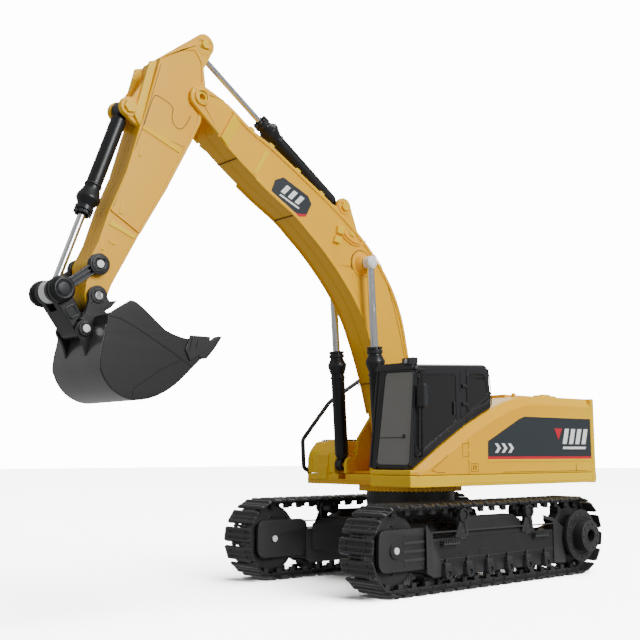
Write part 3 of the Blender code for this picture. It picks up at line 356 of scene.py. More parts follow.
def flat_solid(outline, low, high, holes, plane):
    """Outline given thickness: (y, z) along X, (x, y) along Z, or (x, z) along Y."""
    curve = bpy.data.curves.new("outline", "CURVE")
    curve.dimensions = "2D"
    curve.fill_mode = "BOTH"
    curve.extrude = (high - low) / 2
    for loop in (outline, *holes):
        spline = curve.splines.new("POLY")
        spline.points.add(len(loop) - 1)
        for point, (a, b) in zip(spline.points, loop):
            point.co = (a, b, 0, 1)
        spline.use_cyclic_u = True
    obj = bpy.data.objects.new("outline", curve)
    bpy.context.scene.collection.objects.link(obj)
    mesh = bpy.data.meshes.new_from_object(obj.evaluated_get(bpy.context.evaluated_depsgraph_get()))
    bpy.data.objects.remove(obj)
    at = (low + high) / 2
    turn = {
        "YZ": Matrix(((0, 0, 1, at), (1, 0, 0, 0), (0, 1, 0, 0), (0, 0, 0, 1))),
        "XY": Matrix.Translation((0, 0, at)),
        "XZ": Matrix(((1, 0, 0, 0), (0, 0, -1, at), (0, 1, 0, 0), (0, 0, 0, 1))),
    }[plane]
    mesh.transform(turn)
    return mesh


class Piece:
    """Closed shapes gathered into one object with one finish, which rides on one body."""

    def __init__(self, name, finish, body, bevel=0.3, segments=2):
        self.name, self.finish, self.body = name, finish, body
        self.bevel, self.segments = bevel, segments
        self.bm = bmesh.new()

    def add(self, mesh, turn=None):
        part = bmesh.new()
        part.from_mesh(mesh)
        bpy.data.meshes.remove(mesh)
        bmesh.ops.remove_doubles(part, verts=part.verts, dist=0.002)
        bmesh.ops.recalc_face_normals(part, faces=part.faces)
        joined = bpy.data.meshes.new("part")
        part.to_mesh(joined)
        part.free()
        if turn:
            joined.transform(turn)
        self.bm.from_mesh(joined)
        bpy.data.meshes.remove(joined)
        return self

    def box(self, x, y, z, turn=None):
        size = Vector((x[1] - x[0], y[1] - y[0], z[1] - z[0]))
        centre = Vector((sum(x), sum(y), sum(z))) / 2
        place = Matrix.Translation(centre) @ (turn or Matrix.Identity(4)) @ Matrix.Diagonal((*size, 1))
        bmesh.ops.create_cube(self.bm, size=1.0, matrix=place)
        return self

    def plate(self, outline, x, holes=()):
        return self.add(flat_solid(outline, min(x), max(x), holes, "YZ"))

    def slab(self, outline, z, holes=()):
        return self.add(flat_solid(outline, min(z), max(z), holes, "XY"))

    def facade(self, outline, y, holes=(), turn=None):
        return self.add(flat_solid(outline, min(y), max(y), holes, "XZ"), turn)

    def lathe(self, start, way, profile, sides=ROLL):
        """Turned shape: (distance, radius) points along a way from start; open ends are closed."""
        turn = Matrix.Translation(Vector(start)) @ Vector(way).to_track_quat("Z", "Y").to_matrix().to_4x4()
        points = list(profile)
        if points[0][1] > 0:
            points.insert(0, (points[0][0], 0))
        if points[-1][1] > 0:
            points.append((points[-1][0], 0))
        rings = []
        for d, r in points:
            angles = [math.tau * k / sides for k in range(sides)] if r > 0 else [0]
            rings.append([self.bm.verts.new(turn @ Vector((r * math.cos(a), r * math.sin(a),
                                                           d))) for a in angles])
        for low, high in zip(rings, rings[1:]):
            for k in range(sides):
                j = (k + 1) % sides
                face = [low[k % len(low)], low[j % len(low)], high[j % len(high)], high[k % len(high)]]
                self.bm.faces.new(list(dict.fromkeys(face)))
        return self

    def rod(self, x, centre, r, sides=32):
        """Cylinder along X on the (y, z) centre."""
        low, high = min(x), max(x)
        return self.lathe((low, *centre), (1, 0, 0), [(0, r), (high - low, r)], sides)

    def ring(self, x, centre, r, bore, sides=40):
        """Flat ring along X: outer radius r, inner radius bore."""
        return self.plate(circle(centre, r, sides), x, [circle(centre, bore, sides)])

    def post(self, x, y, z, r, sides=32):
        return self.lathe((x, y, min(z)), (0, 0, 1), [(0, r), (max(z) - min(z), r)], sides)

    def hex(self, x, centre, r, turn=0.0):
        """Bolt head along X with a chamfered face."""
        return self.plate(arc(centre, r, turn, turn + 300, 5), x)

    def tube(self, points, r, sides=12):
        """Round tube through the points."""
        points = [Vector(p) for p in points]
        rings, across = [], None
        for i, here in enumerate(points):
            way = (points[min(i + 1, len(points) - 1)] - points[max(i - 1, 0)]).normalized()
            if across is None:
                across = way.orthogonal().normalized()
            across = (across - way * across.dot(way)).normalized()
            other = way.cross(across)
            rings.append([self.bm.verts.new(here + (across * math.cos(a) + other * math.sin(a)) * r)
                          for a in (math.tau * k / sides for k in range(sides))])
        for low, high in zip(rings, rings[1:]):
            for k in range(sides):
                self.bm.faces.new((low[k], low[(k + 1) % sides], high[(k + 1) % sides], high[k]))
        self.bm.faces.new(rings[0][::-1])
        self.bm.faces.new(rings[-1])
        return self

    def carry(self, node):
        """Start from a CAD node's shape, with its flat faces merged."""
        mesh = frame["nodes"][node].data.copy()
        mesh.transform(TO_MACHINE)
        part = bmesh.new()
        part.from_mesh(mesh)
        bmesh.ops.remove_doubles(part, verts=part.verts, dist=0.02)
        bmesh.ops.dissolve_limit(part, angle_limit=math.radians(1.2), verts=part.verts, edges=part.edges)
        part.to_mesh(mesh)
        part.free()
        self.bm.from_mesh(mesh)
        bpy.data.meshes.remove(mesh)
        return self

    def hull(self, points):
        """Convex solid around the points."""
        part = bmesh.new()
        for point in points:
            part.verts.new(point)
        bmesh.ops.convex_hull(part, input=part.verts)
        bmesh.ops.dissolve_limit(part, angle_limit=0.01, verts=part.verts, edges=part.edges)
        mesh = bpy.data.meshes.new("hull")
        part.to_mesh(mesh)
        part.free()
        return self.add(mesh)

    def done(self, *nodes, angle=28):
        mesh = bpy.data.meshes.new(self.name)
        self.bm.transform(TO_FRAME)
        self.bm.to_mesh(mesh)
        self.bm.free()
        mesh.shade_smooth()
        obj = bpy.data.objects.new(self.name, mesh)
        bpy.context.scene.collection.objects.link(obj)
        obj.data.materials.append(self.finish)
        if self.bevel:
            bevel = obj.modifiers.new("edges", "BEVEL")
            bevel.width = self.bevel * MM
            bevel.segments = self.segments
            bevel.limit_method = "ANGLE"
            bevel.angle_limit = math.radians(angle)
            bevel.use_clamp_overlap = False
            flat = obj.modifiers.new("flat faces", "WEIGHTED_NORMAL")
            flat.keep_sharp = True
        else:
            mesh.set_sharp_from_angle(angle=math.radians(angle))
        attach(obj, self.body)
        if nodes:
            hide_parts(*nodes)
        return obj


def keep(node, finish):
    """Show a CAD node as it is, with a better finish."""
    slot_shadows = frame["nodes"][node].data.materials
    slot_shadows.clear()
    slot_shadows.append(finish)


def carried(node, finish, body, bevel=0.4):
    return Piece(node + "_look", finish, body, bevel).carry(node).done(node)


def line_x(low, high, side=1):
    """An X range measured from the boom's plane, on one side of it."""
    return LINE_X + side * low, LINE_X + side * high


def track_x(side, low, high):
    """An X range measured outwards from the middle of one track."""
    return side * (TRACK_X + low), side * (TRACK_X + high)


# ---------------------------------------------------------------- tracks

WHEEL_Y = PIVOT["drive_wheel_left_spin"][0]
WHEEL_Z = PIVOT["drive_wheel_left_spin"][1]
BELT_OUT = WHEEL_Z
SHOES = 44
LINK_R = 30.2                 # chain pins, from the wheel axles


def belt_places():
    """Each shoe's middle and the turn that stands it on the belt, as matrices."""
    run = 2 * WHEEL_Y
    total = 2 * run + math.tau * LINK_R
    for i in range(SHOES):
        s = (i + 0.5) * total / SHOES
        if s < run:
            y, angle, centre = -WHEEL_Y + s, -90, None
        elif s < run + math.pi * LINK_R:
            angle = math.degrees((s - run) / LINK_R) - 90
            y, centre = WHEEL_Y, WHEEL_Y
        elif s < 2 * run + math.pi * LINK_R:
            y, angle, centre = WHEEL_Y - (s - run - math.pi * LINK_R), 90, None
        else:
            angle = math.degrees((s - 2 * run - math.pi * LINK_R) / LINK_R) + 90
            y = -WHEEL_Y
        # local Y runs along the belt, local Z points out of it
        yield Matrix.Translation((0, y, WHEEL_Z)) @ Matrix.Rotation(math.radians(angle - 90), 4, "X")


def shoe_shape(pitch):
    """One shoe: a plate with two ribs and bevelled ends, and its pair of chain links."""
    half = 0.43 * pitch
    top = BELT_OUT - 0.1
    section = [(-half, 31.2), (half, 31.2), (half, 32.6), (half - 0.9, top), (half - 2.3, top),
               (half - 3.0, 32.7),
               (0.9, 32.7), (0.4, 33.3), (-0.9, 33.3), (-1.4, 32.7), (-half + 3.4, 32.7), (-half + 2.7,
                   top),
               (-half + 1.3, top), (-half + 0.5, 32.7)]
    low = [(y * 0.86, min(z, 32.5)) for y, z in section]
    bm = bmesh.new()
    rings = [[bm.verts.new((x, y, z)) for y, z in points]
             for x, points in ((-18.1, low), (-15.6, section), (15.6, section), (18.1, low))]
    for near, far in zip(rings, rings[1:]):
        for k in range(len(section)):
            j = (k + 1) % len(section)
            bm.faces.new((near[k], near[j], far[j], far[k]))
    bm.faces.new(rings[0])
    bm.faces.new(rings[-1])

    def block(x, y, z):
        size = Vector((x[1] - x[0], y[1] - y[0], z[1] - z[0]))
        centre = Vector((sum(x), sum(y), sum(z))) / 2
        bmesh.ops.create_cube(bm, size=1, matrix=Matrix.Translation(centre) @ Matrix.Diagonal((*size, 1)))

    for side in (-1, 1):
        a, b = sorted((side * 5.2, side * 7.8))
        block((a, b), (-pitch / 2 + 0.2, pitch / 2 - 0.2), (28.9, 31.4))
        block((a, b), (-2.6, 2.6), (25.2, 29.2))
        block((a + 0.4, b - 0.4), (-pitch / 2 - 1.6, -pitch / 2 + 1.0), (28.6, 31.0))
        for y in (-2.4, 2.4):
            bmesh.ops.create_cone(bm, cap_ends=True, segments=6, radius1=1.0, radius2=0.9, depth=0.7,
                                  matrix=Matrix.Translation((side * 10.6, y * 0.9, 33.0)))
    bmesh.ops.create_cone(bm, cap_ends=True, segments=10, radius1=1.2, radius2=1.2, depth=17.4,
                          matrix=Matrix.Translation((0, -pitch / 2,
                                                     LINK_R)) @ Matrix.Rotation(math.pi / 2, 4, "Y"))
    bmesh.ops.recalc_face_normals(bm, faces=bm.faces)
    mesh = bpy.data.meshes.new("shoe")
    bm.to_mesh(mesh)
    bm.free()
    return mesh


def shoes(side, label):
    pitch = (4 * WHEEL_Y + math.tau * LINK_R) / SHOES
    piece = Piece("shoes_" + label, SHOE, "undercarriage", 0.22, 1)
    for place in belt_places():
        piece.add(shoe_shape(pitch), Matrix.Translation((side * TRACK_X, 0, 0)) @ place)
    piece.done("track_belt_" + label)


def track_frame(side, label):
    node = "track_frame_" + label
    piece = Piece(node + "_look", FRAME_BLACK, "undercarriage", 0.5).carry(node)
    piece.done(node)
    trim = Piece("frame_trim_" + label, FRAME_BLACK, "undercarriage", 0.2)
    for z in (25.0, 31.5, 38.0):
        trim.box(track_x(side, 9.6, 10.3) if side > 0 else track_x(side, 9.6, 10.3)[::-1], (-106, -80.5),
                 (z, z + 2.2))
    trim.ring(track_x(side, 9.7, 10.9), (-WHEEL_Y, WHEEL_Z), 6.2, 2.9)
    for k in range(4):
        trim.rod(track_x(side, 9.6, 10.4), (-104 + (k % 2) * 19, 22.5 + (k // 2) * 22), 0.9, 12)
    for y in (-68, 49):
        for k in range(7):
            x = track_x(side, 11.5, 16.8)
            trim.box((min(x), max(x)), (y + 1 + k * 2.6, y + 2.3 + k * 2.6), (37.0, 38.8))
        trim.plate([(y + 1, 35.8), (y + 18, 35.8), (y + 15, 33.2), (y + 4, 33.2)],
                   track_x(side, 11.5, 12.6))
    for y in (-44.0, -20.0):
        trim.plate(strip([(y, 24), (y, 30), (y + 14, 30)], 0.7), track_x(side, 11.9, 12.25))
    # plates that close the frame towards the yoke and round the rear end
    trim.plate([(-83, 15), (-76, 12), (-76, 46.6), (-78.4, 45.6), (-83.4, 52.6)],
               track_x(side, 11.6, 12.6))
    trim.plate([(80, 12), (96.6, 10.8), (96.4, 41), (79.6, 50.6), (67, 53.4), (67, 50.6), (78.6, 47.6),
                (80, 46)], track_x(side, 11.6, 13.0))
    trim.plate(strip([(-76, 45.6), (84, 45.6)], 1.2), track_x(side, 11.9, 12.9))
    trim.plate(strip([(-70, 24.6), (80, 24.6)], 0.7), track_x(side, 11.9, 12.3))
    trim.done()
    lugs = Piece("frame_bolts_" + label, FRAME_BLACK, "undercarriage", 0.2)
    for k in range(6):
        y = LUG_FRONT + k * LUG_STEP
        lugs.ring(track_x(side, 15.4, 16.9), (y, 13.6), 4.2, 2.0, 24)
        lugs.plate([(y - 4.6, 12), (y + 4.6, 12), (y + 3.6, 19.4), (y + 2.2, 21.2), (y - 2.2, 21.2),
                    (y - 3.6, 19.4)],
                   track_x(side, 11.6, 16.0), [circle((y, 13.6), 2.0, 16)])
        lugs.plate(strip([(y, 21), (y, 25)], 1.6), track_x(side, 11.6, 14))
    for y in (-40, 45):
        lugs.ring(track_x(side, 12.0, 14.6), (y, 57.7), 5.6, 3.6, 28)
        lugs.rod(track_x(side, 12.0, 13.6), (y, 57.7), 3.2, 24)
        lugs.plate([(y - 10, 40.6), (y + 6.5, 40.6), (y + 4.6, 53), (y + 2.8, 54.2), (y - 3.6, 54.2)],
                   track_x(side, 11.8, 13.2),
                   [[(y - 4.6, 43.4), (y + 2.6, 43.4), (y + 0.8, 50.6), (y - 1.6, 50.6)]])
    lugs.done()
    pins = Piece("frame_pins_" + label, WHITE_STEEL, "undercarriage", 0.3)
    pins.rod(track_x(side, 10.2, 11.6), (-WHEEL_Y, WHEEL_Z), 2.7, 24)
    pins.rod(track_x(side, -11.6, -10.2), (-WHEEL_Y, WHEEL_Z), 2.7, 24)
    pins.done()


def wheels(side, label):
    drive = Piece("sprocket_%s_look" % label, FRAME_BLACK, "drive_wheel_" + label, 0.3)
    drive.carry("sprocket_" + label)
    centre = (WHEEL_Y, WHEEL_Z)
    drive.ring(track_x(side, 17.6, 18.6), centre, 22.6, 16.2, ROLL)
    drive.ring(track_x(side, 27.6, 28.4), centre, 7.6, 5.4)
    for count, r, x, size in ((16, 19.4, 18.4, 1.1), (10, 10.6, 28.0, 0.95)):
        for y, z in circle(centre, r, count):
            drive.hex(track_x(side, x, x + 0.9), (y, z), size)
    drive.done("sprocket_" + label)
    wheel = Piece("idler_%s_look" % label, FRAME_BLACK, "front_wheel_" + label,
                  0.4).carry("idler_" + label)
    for y, z in circle((-WHEEL_Y, WHEEL_Z), 15.5, 8):
        wheel.ring(track_x(side, 4.3, 5.0), (y, z), 3.2, 2.2, 20)
        wheel.ring(track_x(side, -5.0, -4.3), (y, z), 3.2, 2.2, 20)
    wheel.done("idler_" + label)
    for kind in ("carrier", "bottom"):
        for place in ("front", "rear"):
            node = "%s_roller_%s_%s" % (kind, place, label)
            carried(node, FRAME_BLACK, "%s_wheel_%s_%s" % (kind, place, label), 0.5)


def carrier():
    carried("carrier_frame", FRAME_BLACK, "undercarriage", 0.8)
    slew_y = PIVOT["slew"][0]
    trim = Piece("carrier_trim", FRAME_BLACK, "undercarriage", 0.3)
    trim.slab(circle((0, slew_y), 41.5, ROLL), (50, 53.5), [circle((0, slew_y), 38.6, ROLL)])
    for x, y in circle((0, slew_y), 44.5, 16):
        trim.post(x, y, (48, 51.8), 1.5, 6)
    for side in (-1, 1):
        trim.plate([(-73, 30), (-60, 30), (-60, 40), (-73, 40)], (side * 59.5, side * 60.2))
    trim.done()
    keep("battery_cover", FRAME_BLACK)
    keep("battery_pack", BLUE)
    keep("ring_gear", NYLON)
    keep("slew_pinion", BRASS)
    for label in ("left", "right"):
        keep("idler_axle_" + label, STEEL)
        keep("drive_motor_" + label, STEEL)


# ---------------------------------------------------------------- house


def deck():
    carried("deck", YELLOW, "house", 0.7)
    slew_y = PIVOT["slew"][0]
    trim = Piece("slew_skirt", YELLOW, "house", 0.15, 1)
    for k in range(72):
        angle = math.tau * k / 72
        x, y = 44.6 * math.cos(angle), slew_y + 44.6 * math.sin(angle)
        trim.box((x - 0.7, x + 0.7), (y - 0.7, y + 0.7), (74.2, 79.6), Matrix.Rotation(angle, 4, "Z"))
    trim.done()
    lip = Piece("deck_lip", YELLOW, "house", 0.2)
    lip.box((-74, 25.5), (-66.9, -65.6), (83.4, 84.2))
    for side in (-1, 1):
        lip.box(tuple(sorted((side * 75.3, side * 75.8))), (-40, 150), (82.2, 82.8))
    lip.done()


def decal_outline(grow=0.0):
    low, high = 103.2 - grow, 138.6 + grow
    return [(4.8 - grow, low), (157.6 + grow, low), (157.6 + grow, high), (56, high), (49, 136.4 + grow),
            (5.2 - grow, 116.6 + grow)]


def side_decals(side):
    face = side * HOUSE_X
    x = (face, face + side * 0.22)
    label = "left" if side > 0 else "right"
    Piece("decal_slate_" + label, SLATE, "house", 0).plate(decal_outline(), x).done()
    Piece("decal_red_" + label, RED, "house", 0).plate(
        [(4.8, 101.6), (157.6, 101.6), (157.6, 103.8), (4.8, 103.8)], (face, face + side * 0.26)).done()
    mark = Piece("decal_white_" + label, WHITE, "house", 0)
    x = (face, face + side * 0.3)
    # four slanted bars and a base line, a plain mark
    for k in range(4):
        y = 112 + k * 10
        mark.plate([(y, 115), (y + 6.4, 115), (y + 10.8, 129), (y + 4.4, 129)], x)
    mark.plate([(112, 110.4), (148, 110.4), (149, 112.6), (113, 112.6)], x)
    # a chevron pair near the front
    for k in range(3):
        y = 14 + k * 9
        mark.plate([(y, 107), (y + 4, 107), (y + 8, 111), (y + 4, 115), (y, 115), (y + 4, 111)], x)
    mark.done()
    red = Piece("decal_flash_" + label, RED, "house", 0)
    red.plate([(100, 129), (112, 129), (106, 119)], x)
    red.done()


def side_lines(side):
    """Door and hatch seams drawn as dark strips of painted shade, hatch handles and the lighter ledge
    under the decal.
    """
    face = side * HOUSE_X
    x = (face - side * 0.1, face + side * 0.12)
    label = "left" if side > 0 else "right"
    seam_shade = Piece("seam_shades_" + label, SEAM_SHADE, "house", 0)
    if side > 0:
        seam_shade.plate(strip([(-20, 90), (-20, 119)], 0.5), x)
        seam_shade.plate(strip([(-21, 104), (-27.5, 104), (-27.5, 114.5), (-21, 114.5)], 0.45), x)
        seam_shade.plate(strip([(-66, 93), (-58, 91.2), (-50, 91.2)], 0.45), x)
        seam_shade.plate(strip([(-66, 93), (-46, 104.6)], 0.4), x)
    seam_shade.plate(strip([(-17, 91.5), (-8, 91.5), (-8, 98), (-17, 98), (-17, 91.5)], 0.45), x)
    seam_shade.plate(strip([(24, 90.6), (150, 90.6)], 0.4), x)
    for y in (-14, -11.2):
        seam_shade.box(tuple(sorted((face - side * 0.2, face + side * 0.25))), (y - 0.45, y + 0.45), (93, 96.8))
    seam_shade.done()
    trim = Piece("house_ledges_" + label, YELLOW, "house", 0.25)
    trim.plate([(4.8, 99.4), (157.8, 99.4), (157.8, 101.5), (4.8, 101.5)],
               (face - side * 0.5, face + side * 0.55))
    if side > 0:
        for z in (100, 108, 116):
            trim.box(tuple(sorted((face - side * 0.5, face + side * 0.7))), (-21.2, -18.8), (z, z + 2.0))
    trim.done()


def covers():
    for side, label in ((1, "left"), (-1, "right")):
        carried("side_cover_" + label, YELLOW, "house", 0.8)
        side_decals(side)
        side_lines(side)
    carried("engine_cover", YELLOW, "house", 0.6)
    carried("counterweight", YELLOW, "house", 1.0)
    rear = span("counterweight", 1)[1]
    trim = Piece("counterweight_trim", YELLOW, "house", 0.4)
    for side in (-1, 1):
        trim.facade(*_ring_xz(rounded([(side * 14, 92), (side * 66, 92), (side * 66, 140),
                                       (side * 14, 140)], 4), 1.4, rear))
    trim.box((-9, 9), (rear - 0.6, rear + 0.9), (96, 138))
    trim.box((-72, 72), (rear - 0.8, rear + 1.6), (81.6, 88.4))
    trim.done()
    # painted shade: dark strips where the counterweight meets the side covers
    split_shade = Piece("counterweight_split_shade", SEAM_SHADE, "house", 0)
    edge = span("counterweight", 1)[0] + 0.4
    for side in (-1, 1):
        x = sorted((side * (HOUSE_X - 0.3), side * (HOUSE_X + 0.2)))
        split_shade.box(x, (edge, edge + 0.6), (90, 97.8))
        split_shade.box(x, (edge, edge + 0.6), (120.6, 134))
    split_shade.done()
    grille = Piece("rear_grilles", BLACK, "house", 0.2)
    for side in (-1, 1):
        for k in range(7):
            x = sorted((side * 24, side * 56))
            grille.box(x, (rear - 0.5, rear + 0.5), (100 + k * 5, 102.4 + k * 5))
    grille.done()
    lamps = Piece("tail_lamps", TAIL, "house", 0.5)
    for side in (-1, 1):
        lamps.box(sorted((side * 60, side * 66)), (rear - 0.5, rear + 1.2), (143, 149))
    lamps.done()
    roof = Piece("roof_trim", YELLOW, "house", 0.4)
    top = ROOF - 0.2
    for x0 in (-62, 56):
        roof.box((x0, x0 + 6), (96, 124), (top, top + 2.0))
        roof.box((x0 + 1, x0 + 5), (104, 116), (top + 1.5, top + 3.0))
    for y in (68, 78, 88):
        roof.box((-46, -18), (y, y + 3), (top + 1.5, top + 2.6))
    roof.post(-60, 70, (top, top + 2.4), 2.0, 16)
    roof.post(60, 62, (top - 1, top + 2.4), 2.0, 16)
    roof.done()
    # painted shadow: dark strips for the roof grille's slots
    slot_shadows = Piece("roof_grille_shadows", GROOVE_SHADOW, "house", 0)
    for k in range(9):
        slot_shadows.box((6, 46), (64.5 + k * 3.8, 66.3 + k * 3.8), (top + 1.6, top + 1.95))
    slot_shadows.done()
    pipe = Piece("exhaust_tip", BLACK, "house", 0.4)
    pipe.lathe((-32, 136, top + 8.0), (0, 0, 1), [(0, 5.2), (2.6, 5.2), (2.6, 3.6), (1.0, 3.4)])
    pipe.done()


def _ring_xz(points, width, rear):
    outline, holes = frame_outline(points, width)
    return outline, (rear - 0.6, rear + 0.6), holes


def tool_box():
    carried("tool_box", YELLOW, "house", 0.9)
    x0, x1 = span("tool_box", 0)
    front = span("tool_box", 1)[0]
    trim = Piece("tool_box_trim", YELLOW, "house", 0.4)
    # stepped columns in the sloping front
    trim.plate([(front - 0.8, 86), (front - 0.8, 104.8), (-61.4, 111.4), (-54.6, 118.4), (-48, 118.4),
                (-48, 86)], (-60.6, -47.1))
    trim.plate([(front - 2.0, 84), (front - 2.0, 94.8), (-63.8, 101.4), (-60, 101.4), (-60, 84)],
               (-59.6, -48.1))
    trim.plate([(front - 0.4, 86), (front - 0.4, 101), (-62.4, 108.4), (-55.6, 115.6), (-50, 115.6),
                (-50, 86)], (-42.1, x1 + 0.4))
    trim.box((x0 + 0.2, x0 + 6), (front - 0.6, front + 0.5), (92, 103))
    trim.done()
    grip = Piece("anti_slip_plate", FRAME_BLACK, "house", 0.12, 1)
    grip.box((x0 + 2, x1 - 1), (-51, -10), (117.3, 118.5))
    for k in range(14):
        for j in range(12):
            grip.box((x0 + 3.6 + j * 2.9, x0 + 4.8 + j * 2.9), (-50 + k * 2.9, -48.8 + k * 2.9),
                     (118.4, 119.2))
    grip.done()
    rail = Piece("handrail_look", BLACK, "house", 0)
    rail_x = middle("handrail", 0) - 1.0
    path = [(-HOUSE_X - 0.2, -63, 91.5), (rail_x + 1.4, -63.4, 91.5), (rail_x, -65.5, 92.3),
            (rail_x, -67.6, 94.8),
            (rail_x, -68.9, 117.4), (rail_x, -68.0, 119.6), (rail_x, -66.4, 121.6), (rail_x, -37.4, 152.8),
            (rail_x, -33.6, 155.6), (rail_x, 5.6, 177.8), (rail_x, 9.5, 179.2), (rail_x, 13.4, 178.6),
            (rail_x, 17.4, 175), (rail_x, 27, 138.5), (rail_x, 27.1, 136), (rail_x + 1.4, 27,
                135), (-HOUSE_X - 0.2, 27, 135)]
    rail.tube(path, 2.0, 16)
    rail.done("handrail")
    feet = Piece("handrail_feet", BLACK, "house", 0.3)
    feet.rod((-HOUSE_X - 1.6, -HOUSE_X + 0.1), (-63, 91.5), 3.4, 24)
    feet.rod((-HOUSE_X - 1.6, -HOUSE_X + 0.1), (27, 135), 3.4, 24)
    feet.done()


CAB_LEAN = math.atan2(5.3, 81.0)


def cab_face(piece, outline, thickness, lift=0.0, holes=()):
    """A panel on the cab's leaning front; the outline is (x, z), z measured up the face."""
    foot = Vector((0, CAB_FRONT, 93.6))
    turn = Matrix.Translation(foot) @ Matrix.Rotation(-CAB_LEAN, 4, "X") @ Matrix.Translation(-foot)
    piece.facade(outline, (CAB_FRONT - lift - thickness, CAB_FRONT - lift + 0.2), holes, turn)


def cab():
    carried("cab_shell", CAB_BLACK, "house", 1.3)
    x0, x1 = span("windshield", 0)
    z0, z1 = 98.0, 171.0
    # the windshield's light grey is partly its smoked tint and partly a painted reflection
    glass = Piece("windshield_look", PANE_AND_REFLECTION, "house", 0.3)
    pane = [(31.9, 97.2), (68.4, 97.2), (69.6, 171.6), (38.4, 172.2)]
    cab_face(glass, rounded(pane, 3.4), 1.0, 0.3)
    glass.done("windshield")
    gasket = Piece("windshield_gasket", CAB_BLACK, "house", 0.35)
    edge = rounded([(29.6, 95.4), (69.9, 95.4), (70.2, 173.6), (36.6, 174.2)], 4.4)
    cab_face(gasket, edge, 1.9, 0.0, [rounded(pane, 3.4)])
    side_post = [(24.2, 94.4), (31.4, 94.4), (37.6, 175.6), (29.2, 178.4)]
    cab_face(gasket, rounded(side_post, 1.2), 1.3)
    cab_face(gasket, strip([(24.6, 94.8), (29.6, 178.0)], 1.6), 2.2)
    cab_face(gasket, [(x1 - 4.4, 118.2), (x1 - 1.6, 118.2), (x1 - 1.6, 121.4), (x1 - 4.4, 121.4)], 2.0)
    cab_face(gasket, [(CAB_SIDE - 42.6, 173.6), (CAB_SIDE - 1.0, 173.6), (CAB_SIDE - 1.0, 177.4),
                      (CAB_SIDE - 42.6, 177.4)], 2.4)
    gasket.done()
    # painted shadow: a dark line for the gap across the windshield
    split_shade = Piece("windshield_split_shadow", GROOVE_SHADOW, "house", 0)
    cab_face(split_shade, [(x0 + 1.6, 118.6), (x1 - 1.2, 118.6), (x1 - 1.2, 119.2), (x0 + 1.6, 119.2)], 1.1, 0.3)
    split_shade.done()

    face = (CAB_SIDE - 0.4, CAB_SIDE + 0.25)
    panes = Piece("cab_side_panes", SIDE_PANE, "house", 0.25)
    door = [(-72.5, 169), (-73.5, 109), (-68, 110.5), (-28.5, 133.0), (-28.5, 171.5)]
    back = [(-13.0, 172.2), (-13.0, 140.6), (9.6, 152.5), (12.4, 158), (10.2, 170), (7, 173.2)]
    panes.plate(rounded(door, 2.2), face)
    panes.plate(rounded(back, 2.2), face)
    panes.done()
    lines = Piece("cab_side_frames", CAB_BLACK, "house", 0.3)
    for outline in (door, back):
        shape = rounded(outline, 2.6)
        grown, _ = frame_outline(shape, -1.1)
        hole = frame_outline(shape, 0.4)[1]
        lines.plate(frame_outline(shape, -1.3)[1][0], (CAB_SIDE - 0.3, CAB_SIDE + 0.7), hole)
    lines.plate(strip([(-77, 103.6), (-46, 121.4), (-14, 138.8), (16, 152)], 2.2),
                (CAB_SIDE - 0.6, CAB_SIDE + 1.0))
    for z in (146, 161):
        lines.box((CAB_SIDE, CAB_SIDE + 1.7), (-20.6, -14.6), (z, z + 2.6))
        lines.rod((CAB_SIDE, CAB_SIDE + 2.1), (-17.6, z + 1.3), 1.5, 16)
    lines.box((CAB_SIDE, CAB_SIDE + 1.6), (-32.6, -30.4), (138, 149))
    lines.done()
    # painted shadow: dark strips for slots in the cab side
    slot_shadows = Piece("cab_side_slot_shadows", GROOVE_SHADOW, "house", 0)
    for y, z0, z1 in ((-22.4, 158, 174), (-22.4, 135, 146), (-14.6, 131.6, 177), (-76, 112, 160)):
        slot_shadows.box((CAB_SIDE - 0.3, CAB_SIDE + 0.12), (y - 0.6, y + 0.6), (z0, z1))
    slot_shadows.plate(strip([(14.6, 179.2), (18.0, 160.3), (18.5, 147.4)], 0.8),
                (CAB_SIDE - 0.3, CAB_SIDE + 0.12))
    slot_shadows.done()

    roof = Piece("cab_roof_trim", CAB_BLACK, "house", 0.5)
    x_low = span("cab_shell", 0)[0]
    roof.box((x_low + 1.5, CAB_SIDE - 2), (-79.5, -75), (175.6, 179.2), Matrix.Rotation(-0.05, 4, "X"))
    roof.box((CAB_SIDE - 10, CAB_SIDE - 1.5), (-82, -75), (177.2, 182.4))
    roof.box((CAB_SIDE - 8.4, CAB_SIDE - 3.2), (-76, -70), (178.2, 183.6))
    roof.box((CAB_SIDE - 0.6, CAB_SIDE + 1.4), (-78, -66), (172.6, 174.6))
    roof.done()
    lamp = Piece("cab_roof_lamp", LAMP, "house", 0.2)
    lamp.lathe((CAB_SIDE - 5.8, -81.6, 179.8), (0, -1, 0), [(0, 2.0), (0.7, 1.8), (0.9, 0.8)], 24)
    lamp.done()
    mirror = Piece("mirror_look", BLACK, "house", 0.6).carry("mirror")
    mirror.done("mirror")
    y0, y1 = span("mirror", 1)
    # painted reflection: a light grey sheet on the mirror's glass
    shine = Piece("mirror_glass_reflection", PANE_AND_REFLECTION, "house", 0.2)
    shine.box((72.9, 79.1), (y1 + 0.0, y1 + 0.35), (144.2, 160.0))
    shine.done()


